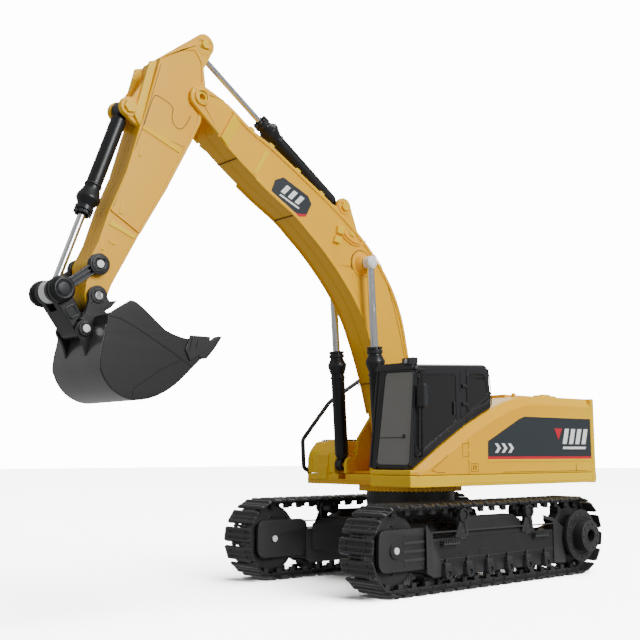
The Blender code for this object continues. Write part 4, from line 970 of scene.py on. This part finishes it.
def bracket():
    piece = Piece("boom_bracket_look", YELLOW, "house", 0.6).carry("boom_bracket")
    piece.done("boom_bracket")
    pins = Piece("bracket_pins", WHITE_STEEL, "house", 0.3)
    bolts = Piece("bracket_bolts", YELLOW, "house", 0.3)
    for side in (-1, 1):
        pins.rod(line_x(17.6, 19.4, side), BOOM_FOOT, 3.4)
        bolts.ring(line_x(17.5, 18.9, side), BOOM_FOOT, 6.4, 3.6)
        bolts.hex(line_x(31.2, 33.0, side), BOOM_BASE, 3.4)
        bolts.plate(strip([(-58, 107), (-30, 128)], 1.6), line_x(17.5, 18.5, side))
        bolts.plate(strip([(-50, 96), (0, 96)], 1.4), line_x(17.5, 18.3, side))
    pins.done()
    bolts.done()
    keep("slew_motor", STEEL)
    keep("circuit_board", GREEN)
    keep("boom_foot_pin", STEEL)
    keep("boom_eye_pin", STEEL)
    keep("arm_pin", YELLOW)


# ---------------------------------------------------------------- cylinders

def toward(a, b):
    return (Vector((0, *b)) - Vector((0, *a))).normalized()


def barrel(node, body, base, eye, x, length, r, nose, bulge, bore, eye_half, eye_r):
    """Barrel with a double-cone gland, a castellated nose ring and a welded base eye."""
    piece = Piece(node + "_look", BLACK, body, 0.25)
    start, way = Vector((LINE_X + x, *base)), toward(base, eye)
    profile = [(eye_r * 0.5, r * 0.5), (eye_r + 2, r * 0.86), (eye_r + 3.5, r), (length - 24, r),
               (length - 23.4, r + 0.7),
               (length - 22.4, r + 0.7), (length - 21.9, r), (length - 19.4, r), (length - 19.3,
                   r + 0.8), (length - 18.2, r + 0.8),
               (length - 13.4, bulge), (length - 11.2, bulge), (length - 7.2, nose - 0.1), (length - 6.0,
                   nose - 0.5),
               (length - 5.4, nose - 0.5), (length - 5.2, nose + 0.5), (length - 2.2,
                   nose + 0.5), (length - 2.1, nose - 0.7),
               (length, nose - 0.7), (length, bore), (length - 3, bore)]
    piece.lathe(start, way, profile)
    spin = way.to_track_quat("Z", "Y").to_matrix().to_4x4()
    for k in range(9):
        turn = Matrix.Translation(start) @ spin @ Matrix.Rotation(math.tau * k / 9, 4, "Z")
        place = turn @ Matrix.Translation((nose - 0.5, 0, length - 0.6)) @ Matrix.Diagonal((1.7, 2.3, 2.0,
            1))
        bmesh.ops.create_cube(piece.bm, size=1, matrix=place)
    low, high = LINE_X + x - eye_half, LINE_X + x + eye_half
    piece.plate(circle(base, eye_r, 32), (low, high), [circle(base, eye_r * 0.52, 24)])
    for edge in (low, high - 0.9):
        piece.ring((edge - 0.2, edge + 1.1), base, eye_r + 0.35, eye_r - 1.4, 32)
    piece.done(node)


def cylinders():
    for side, label in ((1, "left"), (-1, "right")):
        x = side * CYLINDER_X
        barrel("boom_cylinder_" + label, "boom_barrels", BOOM_BASE, BOOM_EYE, x, 99, 5.9, 6.2, 8.2, 4.95,
               3.3, 5.3)
        carried("boom_rod_" + label, CHROME, "boom_rods", 0.5)
        cap = Piece("boom_rod_cap_" + label, WHITE_STEEL, "boom_rods", 0.4)
        low = LINE_X + x
        cap.lathe((low + side * 3.2, *BOOM_EYE), (side, 0, 0), [(0, 5.0), (0.9, 4.6), (1.3, 3.4)])
        cap.ring((low - 3.5, low + 3.5), BOOM_EYE, 5.5, 2.8)
        cap.done()
    barrel("arm_cylinder", "arm_barrel", ARM_BASE, ARM_EYE, 0, 104, 5.6, 6.0, 8.7, 4.4, 4.5, 6.3)
    barrel("bucket_cylinder", "bucket_barrel", BUCKET_BASE, LINK_JOINT, 0, 88, 5.7, 6.2, 8.5, 4.3, 4.5,
           6.3)
    carried("arm_rod", CHROME, "arm_rod_body", 0.4)
    carried("bucket_rod", CHROME, "bucket_rod_body", 0.4)
    collar = Piece("arm_rod_eye", WHITE_STEEL, "arm_rod_body", 0.5)
    collar.ring(line_x(-4.5, 4.5), ARM_EYE, 7.9, 3.0)
    collar.done()
    collar = Piece("bucket_rod_eye", WHITE_STEEL, "bucket_rod_body", 0.5)
    collar.ring(line_x(-4.5, 4.5), LINK_JOINT, 8.0, 3.6)
    collar.done()


# ---------------------------------------------------------------- boom and arm

def boom_runs():
    """The boom's upper and lower edges, from the machine to the tip and back, and its foot."""
    upper = [(-13.2, 140), (-15.2, 165), (-20.6, 190.7), (-27.8, 222.2), (-38.3, 246.4), (-51.7, 265.3),
             (-68.8, 283.4), (-88, 299), (-111.5, 314.5), (-140.4, 331), (-175.1, 350.2), (-197.2, 360.5),
             (-212.9, 370.8), (-225, 378)]
    lower = [(-235.5, 355.0), (-214.6, 338.7), (-179.9, 315.5), (-151.9, 299.7), (-133.2, 285.5),
             (-119.1, 274.0),
             (-102.1, 257.5), (-86.6, 239.6), (-74.8, 222.0), (-64.5, 200.2), (-54.3, 173.9), (-47, 150),
             (-40.5, 126)]
    return smooth(upper), smooth(lower), arc(BOOM_FOOT, 11.2, 190, 350, 12)


def boom():
    upper, lower, foot = boom_runs()
    body = [(-16.8, 114)] + upper + [(-231.5, 377), (-232.3, 357)] + lower[2:] + foot
    ear = [(-216.6, 371.6), (-225, 378)] + arc(ARM_PIVOT, 9.8, 75, 215, 16) + [(-235.5, 355),
        (-229, 349.6)]
    base_ear = [(-74, 290)] + arc(ARM_BASE, 7.6, 20, 190, 14) + [(-120, 321), (-112, 308), (-84, 290)]
    for side, label in ((1, "left"), (-1, "right")):
        piece = Piece("boom_shell_%s_look" % label, YELLOW, "boom", 0.5)
        piece.plate(body, line_x(0.15, BOOM_HALF, side), [circle(BOOM_FOOT, 3.7), circle(BOOM_EYE, 2.7)])
        piece.plate(ear, line_x(12.7, 15.6, side), [circle(ARM_PIVOT, 4.3)])
        piece.plate(base_ear, line_x(6.0, 9.2, side), [circle(ARM_BASE, 2.7)])
        piece.ring(line_x(15.2, 17.4, side), ARM_PIVOT, 6.5, 4.3)
        for run in (upper[:-2], lower[10:-4]):
            piece.plate(strip([tuple(Vector(p)) for p in run], 3.0), line_x(12.6, BOOM_HALF + 1.0, side))
        # the sloping step from the ear down to the side
        near = [(-215.4, 369.6), (-227.4, 348.4)]
        far = [(-206.6, 364.6), (-218.6, 342.6)]
        low = [(line_x(0, 12, side)[1], y, z) for y, z in near + far]
        piece.hull(low + [(LINE_X + side * 15.6, y, z) for y,
                          z in near] + [(LINE_X + side * 13.1, y, z) for y, z in far])
        piece.done("boom_shell_" + label)
        boom_trim(side, label)
    pins = Piece("boom_pins", YELLOW, "boom", 0.3)
    for side in (-1, 1):
        pins.hex(line_x(9.0, 12.2, side), ARM_BASE, 4.4, 10)
        pins.ring(line_x(8.9, 10.0, side), ARM_BASE, 6.9, 3.0)
    pins.done("arm_cylinder_pin")


def boom_trim(side, label):
    face = BOOM_HALF - 0.1
    trim = Piece("boom_trim_" + label, YELLOW, "boom", 0.3)
    # stepped boss of the cylinder eye, and the plate that runs down from it
    trim.lathe((LINE_X + side * face, *BOOM_EYE), (side, 0, 0),
               [(0, 11.4), (1.4, 11.0), (1.4, 9.0), (4.2, 7.6), (6.4, 6.4)])
    trim.plate(smooth([(-88, 262), (-84, 246), (-72, 222), (-62, 198)]) + smooth([(-55, 200), (-62, 222),
        (-70, 244), (-72, 262)]),
               line_x(face - 0.2, face + 0.5, side))
    # pipe clamp, its bent pipe and a hook
    trim.hull([(x, y, z) for x in line_x(face - 1, face + 3.2, side)
               for y, z in ((-105.4, 297.4), (-98.0, 297.0), (-99.8, 290.4), (-106.2, 291.2))])
    trim.hull([(x, y, z) for x in line_x(face - 1, face + 3.2, side)
               for y, z in ((-108.4, 288.4), (-101.4, 288.0), (-102.8, 282.2), (-109.8, 283.0))])
    pipe = smooth([(-101, 293), (-96, 288), (-88, 284.4), (-80.4, 284.0), (-73.6, 287)])
    for lift in (0, 2.0):
        trim.tube([(LINE_X + side * (face + 0.7), y + lift, z + lift) for y, z in pipe], 0.8, 8)
    trim.plate([(-89.9, 295.4), (-84.3, 293.6), (-85.2, 290.7), (-89.9, 292)],
               line_x(face, face + 1.3, side))
    trim.plate([(-182.4, 348.4), (-178.4, 346.4), (-190.4, 325.6), (-194.6, 326.6)],
               line_x(face, face + 0.55, side))
    for y, z in ((-176, 353.6), (-148, 338.2), (-122, 323.4), (-196, 362.8)):
        trim.box(sorted(line_x(BOOM_HALF - 3, BOOM_HALF + 0.9, side)), (y - 2.4, y + 2.4),
                 (z - 2, z + 0.5),
                 Matrix.Rotation(-0.5, 4, "X"))
    trim.done()
    # painted shade: dark strips along the boom's seams and round the eye boss
    seam_shade = Piece("boom_seam_shades_" + label, SEAM_SHADE, "boom", 0)
    x = line_x(face - 0.2, face + 0.25, side)
    seam_shade.plate(strip([(-17, 170.6), (-57, 165)], 0.6), x)
    seam_shade.plate(circle(BOOM_EYE, 12.3, 40), x, [circle(BOOM_EYE, 11.5, 40)])
    seam_shade.plate(strip(smooth([(-66, 280.6), (-57, 276), (-48, 262), (-34, 226), (-24, 190), (-21, 171)]),
                     0.5), x)
    if side > 0:
        for a, b in (((-210.2, 335.0), (-210.6, 335.7)), ((-151.6, 298.9), (-152.0, 299.7)),
                     ((-56.2, 166.4), (-56.6, 167.1))):
            seam_shade.plate(strip([a, b], 1.1), (LINE_X - BOOM_HALF + 0.2, LINE_X + BOOM_HALF - 0.2))
    seam_shade.done()
    way = (Vector((-133.4, 318.1)) - Vector((-160.9, 329.5))).normalized()
    up = Vector((-way.y, way.x))
    heart = Vector((-154.2, 314.6))

    def at(a, b):
        return tuple(heart + way * a + up * b)

    badge = rounded([at(-20.5, -8), at(-20.5, 3), at(-14, 9.6), at(14.5, 9.6), at(20.5, 5), at(19, -8),
                     at(11, -12.6), at(-12, -10.5)], 2)
    Piece("boom_badge_" + label, SLATE, "boom", 0).plate(badge, line_x(face, face + 0.3, side)).done()
    flash = [at(4, -11.8), at(11, -12.6), at(19, -8), at(19.3, -5.4), at(11.4, -10)]
    Piece("boom_badge_red_" + label, RED, "boom", 0).plate(flash, line_x(face, face + 0.36, side)).done()
    mark = Piece("boom_badge_mark_" + label, WHITE, "boom", 0)
    for k in range(3):
        mark.plate([at(-12 + k * 8, -3), at(-7.6 + k * 8, -3), at(-4 + k * 8, 5.6), at(-8.4 + k * 8, 5.6)],
                   line_x(face, face + 0.36, side))
    mark.plate([at(-12, -6.4), at(9.6, -6.4), at(10.4, -4.8), at(-11.2, -4.8)],
               line_x(face, face + 0.36, side))
    mark.done()


def arm_edges():
    """The arm's rear, top and front edges, without the bosses at its foot."""
    rear = [(-316.3, 222.7), (-294.8, 262.3), (-273.5, 298.8), (-252.4, 339.6), (-244.8, 355.8),
            (-241.6, 372),
            (-240.8, 388), (-242.5, 400), (-238, 408.5)]
    front = [(-281.4, 398.9), (-287.8, 375.8), (-293.7, 353.6), (-297.8, 340.4), (-307.5, 306.0),
             (-319.7, 276.5),
             (-327.5, 252)]
    return rear, arc(ARM_EYE, 8.8, -40, 118, 12), front


def arm():
    rear, top, front = arm_edges()
    foot = arc(LINK_PIVOT, 6.4, 150, 200, 4) + arc(BUCKET_PIVOT, 8.2, 170, 330, 12)
    holes = [circle(c, r) for c, r in ((ARM_PIVOT, 4.4), (BUCKET_PIVOT, 2.8), (LINK_PIVOT, 2.8))]
    fork = [(-238.8, 405)] + arc(ARM_EYE, 10.4, 262, 168, 10) + [(-266, 409)]
    ear = [(-285.5, 391)] + arc(BUCKET_BASE, 7.6, 75, 235, 14) + [(-296, 342), (-286, 356)]
    rim = [(-318.5, 275), (-306.3, 305.4), (-296.4, 340.4), (-280.6, 398), (-262, 409.8), (-251, 412.4),
           (-245, 404.6), (-243.9, 388), (-244.6, 372), (-247.6, 356.4), (-255.2, 340.4), (-276,
               299.4), (-297, 262.8)]
    for side, label in ((1, "left"), (-1, "right")):
        piece = Piece("arm_shell_%s_look" % label, YELLOW, "arm", 0.5)
        piece.plate(rear + top + front + foot, line_x(5.2, ARM_HALF, side),
                    holes + [circle(ARM_EYE, PIN_HOLE)])
        piece.plate(rear[:-2] + fork + front + foot, line_x(0.15, 5.2, side), holes)
        piece.plate(ear, line_x(6.1, 9.4, side), [circle(BUCKET_BASE, PIN_HOLE)])
        piece.ring(line_x(ARM_HALF - 0.2, ARM_HALF + 1.1, side), ARM_EYE, 8.6, 2.8)
        piece.plate(rear[1:] + top[:-1] + front[:-1], line_x(ARM_HALF - 0.3, ARM_HALF + 0.8, side), [rim])
        piece.hull([(LINE_X + side * x, y, z) for x in (9.0, 11.6)
                    for y, z in ((-283.4, 396), (-289.8, 394), (-301.6, 350), (-296.4, 342))])
        piece.done("arm_shell_" + label)
        face = ARM_HALF
        trim = Piece("arm_trim_" + label, YELLOW, "arm", 0.25)
        trim.plate([(-318.6, 268.6), (-298.4, 260.8), (-299.4, 257.8), (-320, 265.4)],
                   line_x(face - 0.1, face + 0.6, side))
        for points in (((-295.1, 327.4), (-297.3, 320.5), (-295.3, 319.6)),
                       ((-309.9, 281.6), (-311.6, 275.0), (-309.6, 274.2)),
                       ((-320.0, 254.8), (-318.9, 253.0), (-314.2, 251.4)), ((-324.6, 249.4),
                           (-325.2, 247.2), (-323.2, 246.6))):
            trim.plate(strip(points, 1.0), line_x(face - 0.1, face + 0.6, side))
        trim.hex(line_x(ARM_HALF + 0.9, ARM_HALF + 2.8, side), ARM_EYE, 3.7, 12)
        trim.hex(line_x(9.2, 12.4, side), BUCKET_BASE, 5.0, 8)
        trim.ring(line_x(9.2, 10.4, side), BUCKET_BASE, 7.2, 3.0)
        trim.done()
        # painted shade: dark strips along the arm's seams
        seam_shade = Piece("arm_seam_shades_" + label, SEAM_SHADE, "arm", 0)
        key = smooth([(-293.6, 344), (-288.4, 361), (-285.6, 367.4), (-282.4, 368.4), (-273, 365.2),
                      (-269.4, 362),
                      (-270.1, 354.9), (-268.0, 349.6), (-263.6, 347.4), (-258.6, 350.6), (-253.4, 360)])
        seam_shade.plate(strip(key, 0.55), line_x(face - 0.1, face + 0.15, side))
        seam_shade.plate(strip([(-295.2, 341.4), (-259.6, 334.2)], 0.4), line_x(face - 0.1, face + 0.12, side))
        seam_shade.plate(strip([(-316.6, 279), (-295.0, 341), (-280.4, 394)], 0.4),
                   line_x(face - 0.1, face + 0.12, side))
        seam_shade.done()
        shade = Piece("arm_band_" + label, YELLOW, "arm", 0.2)
        shade.hull([(LINE_X + side * x, y, z) for x, spots in
                    ((face - 0.2, ((-295.6, 341), (-291, 344.6), (-259, 335), (-263, 328.6))),
                     (face + 0.7, ((-295.6, 340.6), (-263.4, 328.8)))) for y, z in spots])
        shade.done()
    spacer = Piece("link_spacer", YELLOW, "side_links", 0.3)
    for side in (-1, 1):
        spacer.ring(line_x(12.1, 12.6, side), LINK_PIVOT, 5.4, 3.0)
    spacer.done()


# ---------------------------------------------------------------- linkage and bucket

def links():
    for side, label in ((1, "left"), (-1, "right")):
        piece = Piece("side_link_%s_look" % label, BLACK, "side_links", 0.5)
        bar = strip([LINK_PIVOT, LINK_JOINT], 7.4)
        piece.plate(bar, line_x(13.0, 14.6, side))
        for shift in (-1, 1):
            a, b = Vector(LINK_PIVOT), Vector(LINK_JOINT)
            out = Vector((a.y - b.y, b.x - a.x)).normalized() * 3.0 * shift
            piece.plate(strip([tuple(a + out), tuple(b + out)], 1.5), line_x(13.0, 16.4, side))
        piece.plate(strip([LINK_PIVOT, LINK_JOINT], 1.4), line_x(13.0, 15.8, side))
        piece.ring(line_x(12.6, 17.4, side), LINK_PIVOT, 7.6, 2.9)
        piece.ring(line_x(17.2, 18.2, side), LINK_PIVOT, 6.2, 3.3)
        start = (LINE_X + side * 12.6, *LINK_JOINT)
        piece.lathe(start, (side, 0, 0),
                    [(0, 9.3), (2.8, 9.3), (3.0, 8.2), (3.6, 8.2), (3.8, 8.8), (4.6, 8.8), (5.6, 7.6),
                     (6.4, 7.2),
                                          (6.4, 5.6), (5.9, 5.4), (5.9, 4.6), (6.6, 4.4)])
        piece.done("side_link_" + label)
        ends = Piece("link_pin_ends_" + label, WHITE_STEEL, "side_links", 0.3)
        ends.rod(line_x(16.0, 18.3, side), LINK_PIVOT, 2.8)
        ends.done()
    keep("link_pin", STEEL)
    piece = Piece("bucket_link_look", BLACK, "bucket_link_body", 0.6).carry("bucket_link")
    for side in (-1, 1):
        for d, r in ((9.6, 9.0), (11.2, 9.0)):
            piece.ring(line_x(d, d + 1.0, side), LINK_JOINT, r, 8.0)
    piece.done("bucket_link")
    trim = Piece("bucket_link_trim", BLACK, "bucket_link_body", 0.3)
    a, b = along(BUCKET_LINK_EYE, LINK_JOINT, 0.30), along(BUCKET_LINK_EYE, LINK_JOINT, 0.60)
    for side in (-1, 1):
        outline, holes = frame_outline(rounded(strip([a, b], 8.4), 2.4), 1.3)
        trim.plate(outline, line_x(11.2, 12.0, side), holes)
    trim.done()
    pins = Piece("bucket_pins_ends", WHITE_STEEL, "bucket_body", 0.3)
    for side in (-1, 1):
        pins.rod(line_x(15.6, 17.4, side), BUCKET_PIVOT, 2.8)
        pins.rod(line_x(17.3, 18.3, side), BUCKET_LINK_EYE, 2.8)
    pins.done()
    keep("bucket_pin", STEEL)


def bucket():
    back = smooth([(-262.8, 166.5), (-275.4, 155.0), (-287, 147.6), (-298.8, 143.2), (-311.3, 142.2),
                   (-323.0, 146.6),
                   (-331.2, 154.4), (-335.4, 164.0), (-334.8, 174.0), (-333.0, 182.7), (-331.6, 191.5)])
    mouth = smooth([(-331.0, 194.5), (-329.2, 199.5), (-313.8, 209.7)])[:-1] + smooth([(-313.8, 209.7),
        (-307, 207.6), (-286.1, 191.8)], 4)
    mouth += smooth([(-286.1, 191.8), (-276, 188.4), (-266, 186.9), (-248, 187)],
                    4)[1:] + [(-249.5, 178.6)]
    piece = Piece("bucket_look", BUCKET_BLACK, "bucket_body", 0.35)
    for side in (-1, 1):
        piece.plate(mouth + back, line_x(BUCKET_HALF - 2.4, BUCKET_HALF, side))
        piece.plate([(-265.5, 189.5), (-269.8, 179), (-265.7, 171.1), (-249, 181), (-248.8, 189.6)],
                    line_x(BUCKET_HALF - 0.5, BUCKET_HALF + 1.2, side))
        ear = arc(BUCKET_PIVOT, 7.2, 0, 200,
                  14) + smooth([(-336.2, 206.5), (-338.0, 200.5), (-341.6, 196.2)])
        ear += arc(BUCKET_LINK_EYE, 6.3, 115, 235,
                   8) + smooth([(-340.0, 183.0), (-337.6, 177.6), (-335.4, 170)])
        ear += [(-329, 170)] + smooth([(-327.2, 174), (-330.0, 180.6), (-328.6, 186.6),
                                       (-322.4, 190)]) + [(-320, 199.6)]
        ear += smooth([(-322.6, 203.6), (-318.4, 206.2), (-313.6, 211.6)]) + [(-319.6, 210.6)]
        piece.plate(ear, line_x(12.8, 15.8, side),
                    [circle(BUCKET_PIVOT, PIN_HOLE), circle(BUCKET_LINK_EYE, PIN_HOLE)])
        piece.ring(line_x(15.6, 16.6, side), BUCKET_PIVOT, 5.4, 3.0)
        piece.ring(line_x(15.6, 17.4, side), BUCKET_LINK_EYE, 5.2, 3.0)
    # cross beam between the side plates, lip and teeth
    piece.plate([(-331.8, 189.6), (-330.4, 199.0), (-320.6, 202.6), (-318.4, 199.4), (-321.4, 192)],
                line_x(-BUCKET_HALF + 2, BUCKET_HALF - 2))
    piece.plate([(-262.6, 166.7), (-249.5, 178.6), (-248.2, 181.0), (-251, 182.6), (-264.4, 169.6)],
                line_x(-BUCKET_HALF + 2, BUCKET_HALF - 2))
    for k in range(5):
        x = LINE_X + (k - 2) * TOOTH_STEP
        piece.plate([(-258, 174.5), (-251.4, 173.6), (-244.2, 181.5), (-248, 186.2), (-254, 184)],
                    (x - 4.2, x + 4.2))
        piece.plate([(-247.6, 180.5), (-243.4, 181.4), (-236.8, 190.8), (-240.6, 190.8), (-246.4, 186.4)],
                    (x - 2.6, x + 2.6))
    piece.done("bucket")
    wrapper = Piece("bucket_wrapper", WRAPPER, "bucket_body", 0.2)
    inner = [tuple(Vector(p) + (Vector((-300, 178)) - Vector(p)).normalized() * 2.4) for p in back]
    wrapper.plate(back + inner[::-1], line_x(-BUCKET_HALF + 0.4, BUCKET_HALF - 0.4))
    band = [p for p in back if p[0] < -320 and p[1] > 161.4]
    grown = [tuple(Vector(p) - (Vector((-300, 178)) - Vector(p)).normalized() * 0.7) for p in band]
    wrapper.plate(grown + band[::-1], line_x(-BUCKET_HALF + 0.4, BUCKET_HALF - 0.4))
    wrapper.done()
    # painted shadow: dark lines for the grooves on the bucket's sides
    groove_shadow = Piece("bucket_line_shadows", GROOVE_SHADOW, "bucket_body", 0)
    rib = smooth([(-330, 197.6), (-321.1, 196.2), (-310, 191.6), (-297.3, 185.3), (-280, 176.4),
                  (-263.6, 166.9)], 4)
    for side in (-1, 1):
        x = line_x(BUCKET_HALF - 0.1, BUCKET_HALF + 0.14, side)
        groove_shadow.plate(strip(rib, 0.7), x)
        groove_shadow.plate(strip([(-310.7, 143.4), (-310.2, 149.6), (-290, 163), (-272.5, 171.6)], 0.6), x)
        for shift in (0, 5.2):
            groove_shadow.plate(strip([(-264.6 + shift, 187.6 - shift * 0.4),
                                (-266.4 + shift, 178.2 + shift * 0.4)], 0.7),
                         line_x(BUCKET_HALF + 1.1, BUCKET_HALF + 1.35, side))
    groove_shadow.done()


# ---------------------------------------------------------------- studio

def studio():
    floor = bpy.data.meshes.new("floor")
    bm = bmesh.new()
    bmesh.ops.create_grid(bm, x_segments=1, y_segments=1, size=6.0)
    bm.to_mesh(floor)
    bm.free()
    obj = bpy.data.objects.new("floor", floor)
    bpy.context.scene.collection.objects.link(obj)
    matte = Finish("floor paper", Roughness=0.9, Specular_IOR_Level=0.15)
    matte.feed("Base Color", matte.blend(matte.noise(3, 2), (0.92, 0.92, 0.92, 1), (0.95, 0.95, 0.95, 1)))
    floor.materials.append(matte.material)
    obj.visible_diffuse = False
    obj.visible_glossy = False
    backdrop()

    world = bpy.data.worlds.new("studio")
    bpy.context.scene.world = world
    world.use_nodes = True
    world.node_tree.nodes["Background"].inputs["Color"].default_value = (1, 1, 1, 1)
    world.node_tree.nodes["Background"].inputs["Strength"].default_value = WORLD_LIGHT

    centre = Vector((0, 0, 0.18))
    for name, place, size, watts in (("key", (1.9, 0.15, 1.1), 0.9, 42),
                                     ("fill", (-0.5, -1.9, 1.0), 1.4, 2.4),
                                     ("top", (0.3, 0.4, 2.2), 1.2, 20), ("rim", (-1.2, 1.4, 1.2), 0.9, 6)):
        light = bpy.data.lights.new(name, "AREA")
        light.energy = watts
        light.size = size
        lamp = bpy.data.objects.new(name, light)
        lamp.location = place
        lamp.rotation_euler = (centre - Vector(place)).to_track_quat("-Z", "Y").to_euler()
        bpy.context.scene.collection.objects.link(lamp)
    # a wide soft light for the floor alone, so the ground is white with a soft contact shadow
    sky = bpy.data.lights.new("floor light", "SUN")
    sky.energy = FLOOR_LIGHT
    sky.angle = math.radians(75)
    lamp = bpy.data.objects.new("floor light", sky)
    lamp.rotation_euler = Vector((0.5, 0.55, 1)).to_track_quat("Z", "Y").to_euler()
    bpy.context.scene.collection.objects.link(lamp)
    only = bpy.data.collections.new("floor only")
    only.objects.link(obj)
    lamp.light_linking.receiver_collection = only


def backdrop():
    """A bright wall far behind the machine, seen by the camera only."""
    mesh = bpy.data.meshes.new("backdrop")
    corners = [(-14, 5.4, -3), (5.4, 14, -3), (5.4, 14, 9), (-14, 5.4, 9)]
    mesh.from_pydata([(x, y, z) for x, y, z in corners], [], [(0, 1, 2, 3)])
    glow = Finish("backdrop glow", Roughness=0.9, Emission_Strength=WALL_GLOW)
    shade = glow.blend(glow.noise(0.5, 1), (0.96, 0.96, 0.96, 1), (1.0, 1.0, 1.0, 1))
    glow.feed("Base Color", shade)
    glow.feed("Emission Color", shade)
    mesh.materials.append(glow.material)
    wall = bpy.data.objects.new("backdrop", mesh)
    bpy.context.scene.collection.objects.link(wall)
    wall.visible_diffuse = False
    wall.visible_glossy = False
    wall.visible_shadow = False


def camera():
    turn, tilt = math.radians(48.66), math.radians(7.774)
    eye = TO_FRAME @ Vector((607.1, -651.4, 106.3))
    way = Vector((-math.sin(turn) * math.cos(tilt), math.cos(turn) * math.cos(tilt), math.sin(tilt)))
    data = bpy.data.cameras.new("camera")
    data.lens = 55.03
    data.sensor_width = 36
    obj = bpy.data.objects.new("camera", data)
    obj.location = eye
    obj.rotation_euler = way.to_track_quat("-Z", "Y").to_euler()
    bpy.context.scene.collection.objects.link(obj)
    bpy.context.scene.camera = obj


camera()
carrier()
for track_side, track_label in ((1, "left"), (-1, "right")):
    shoes(track_side, track_label)
    track_frame(track_side, track_label)
    wheels(track_side, track_label)
deck()
covers()
tool_box()
cab()
bracket()
cylinders()
boom()
arm()
links()
bucket()
studio()
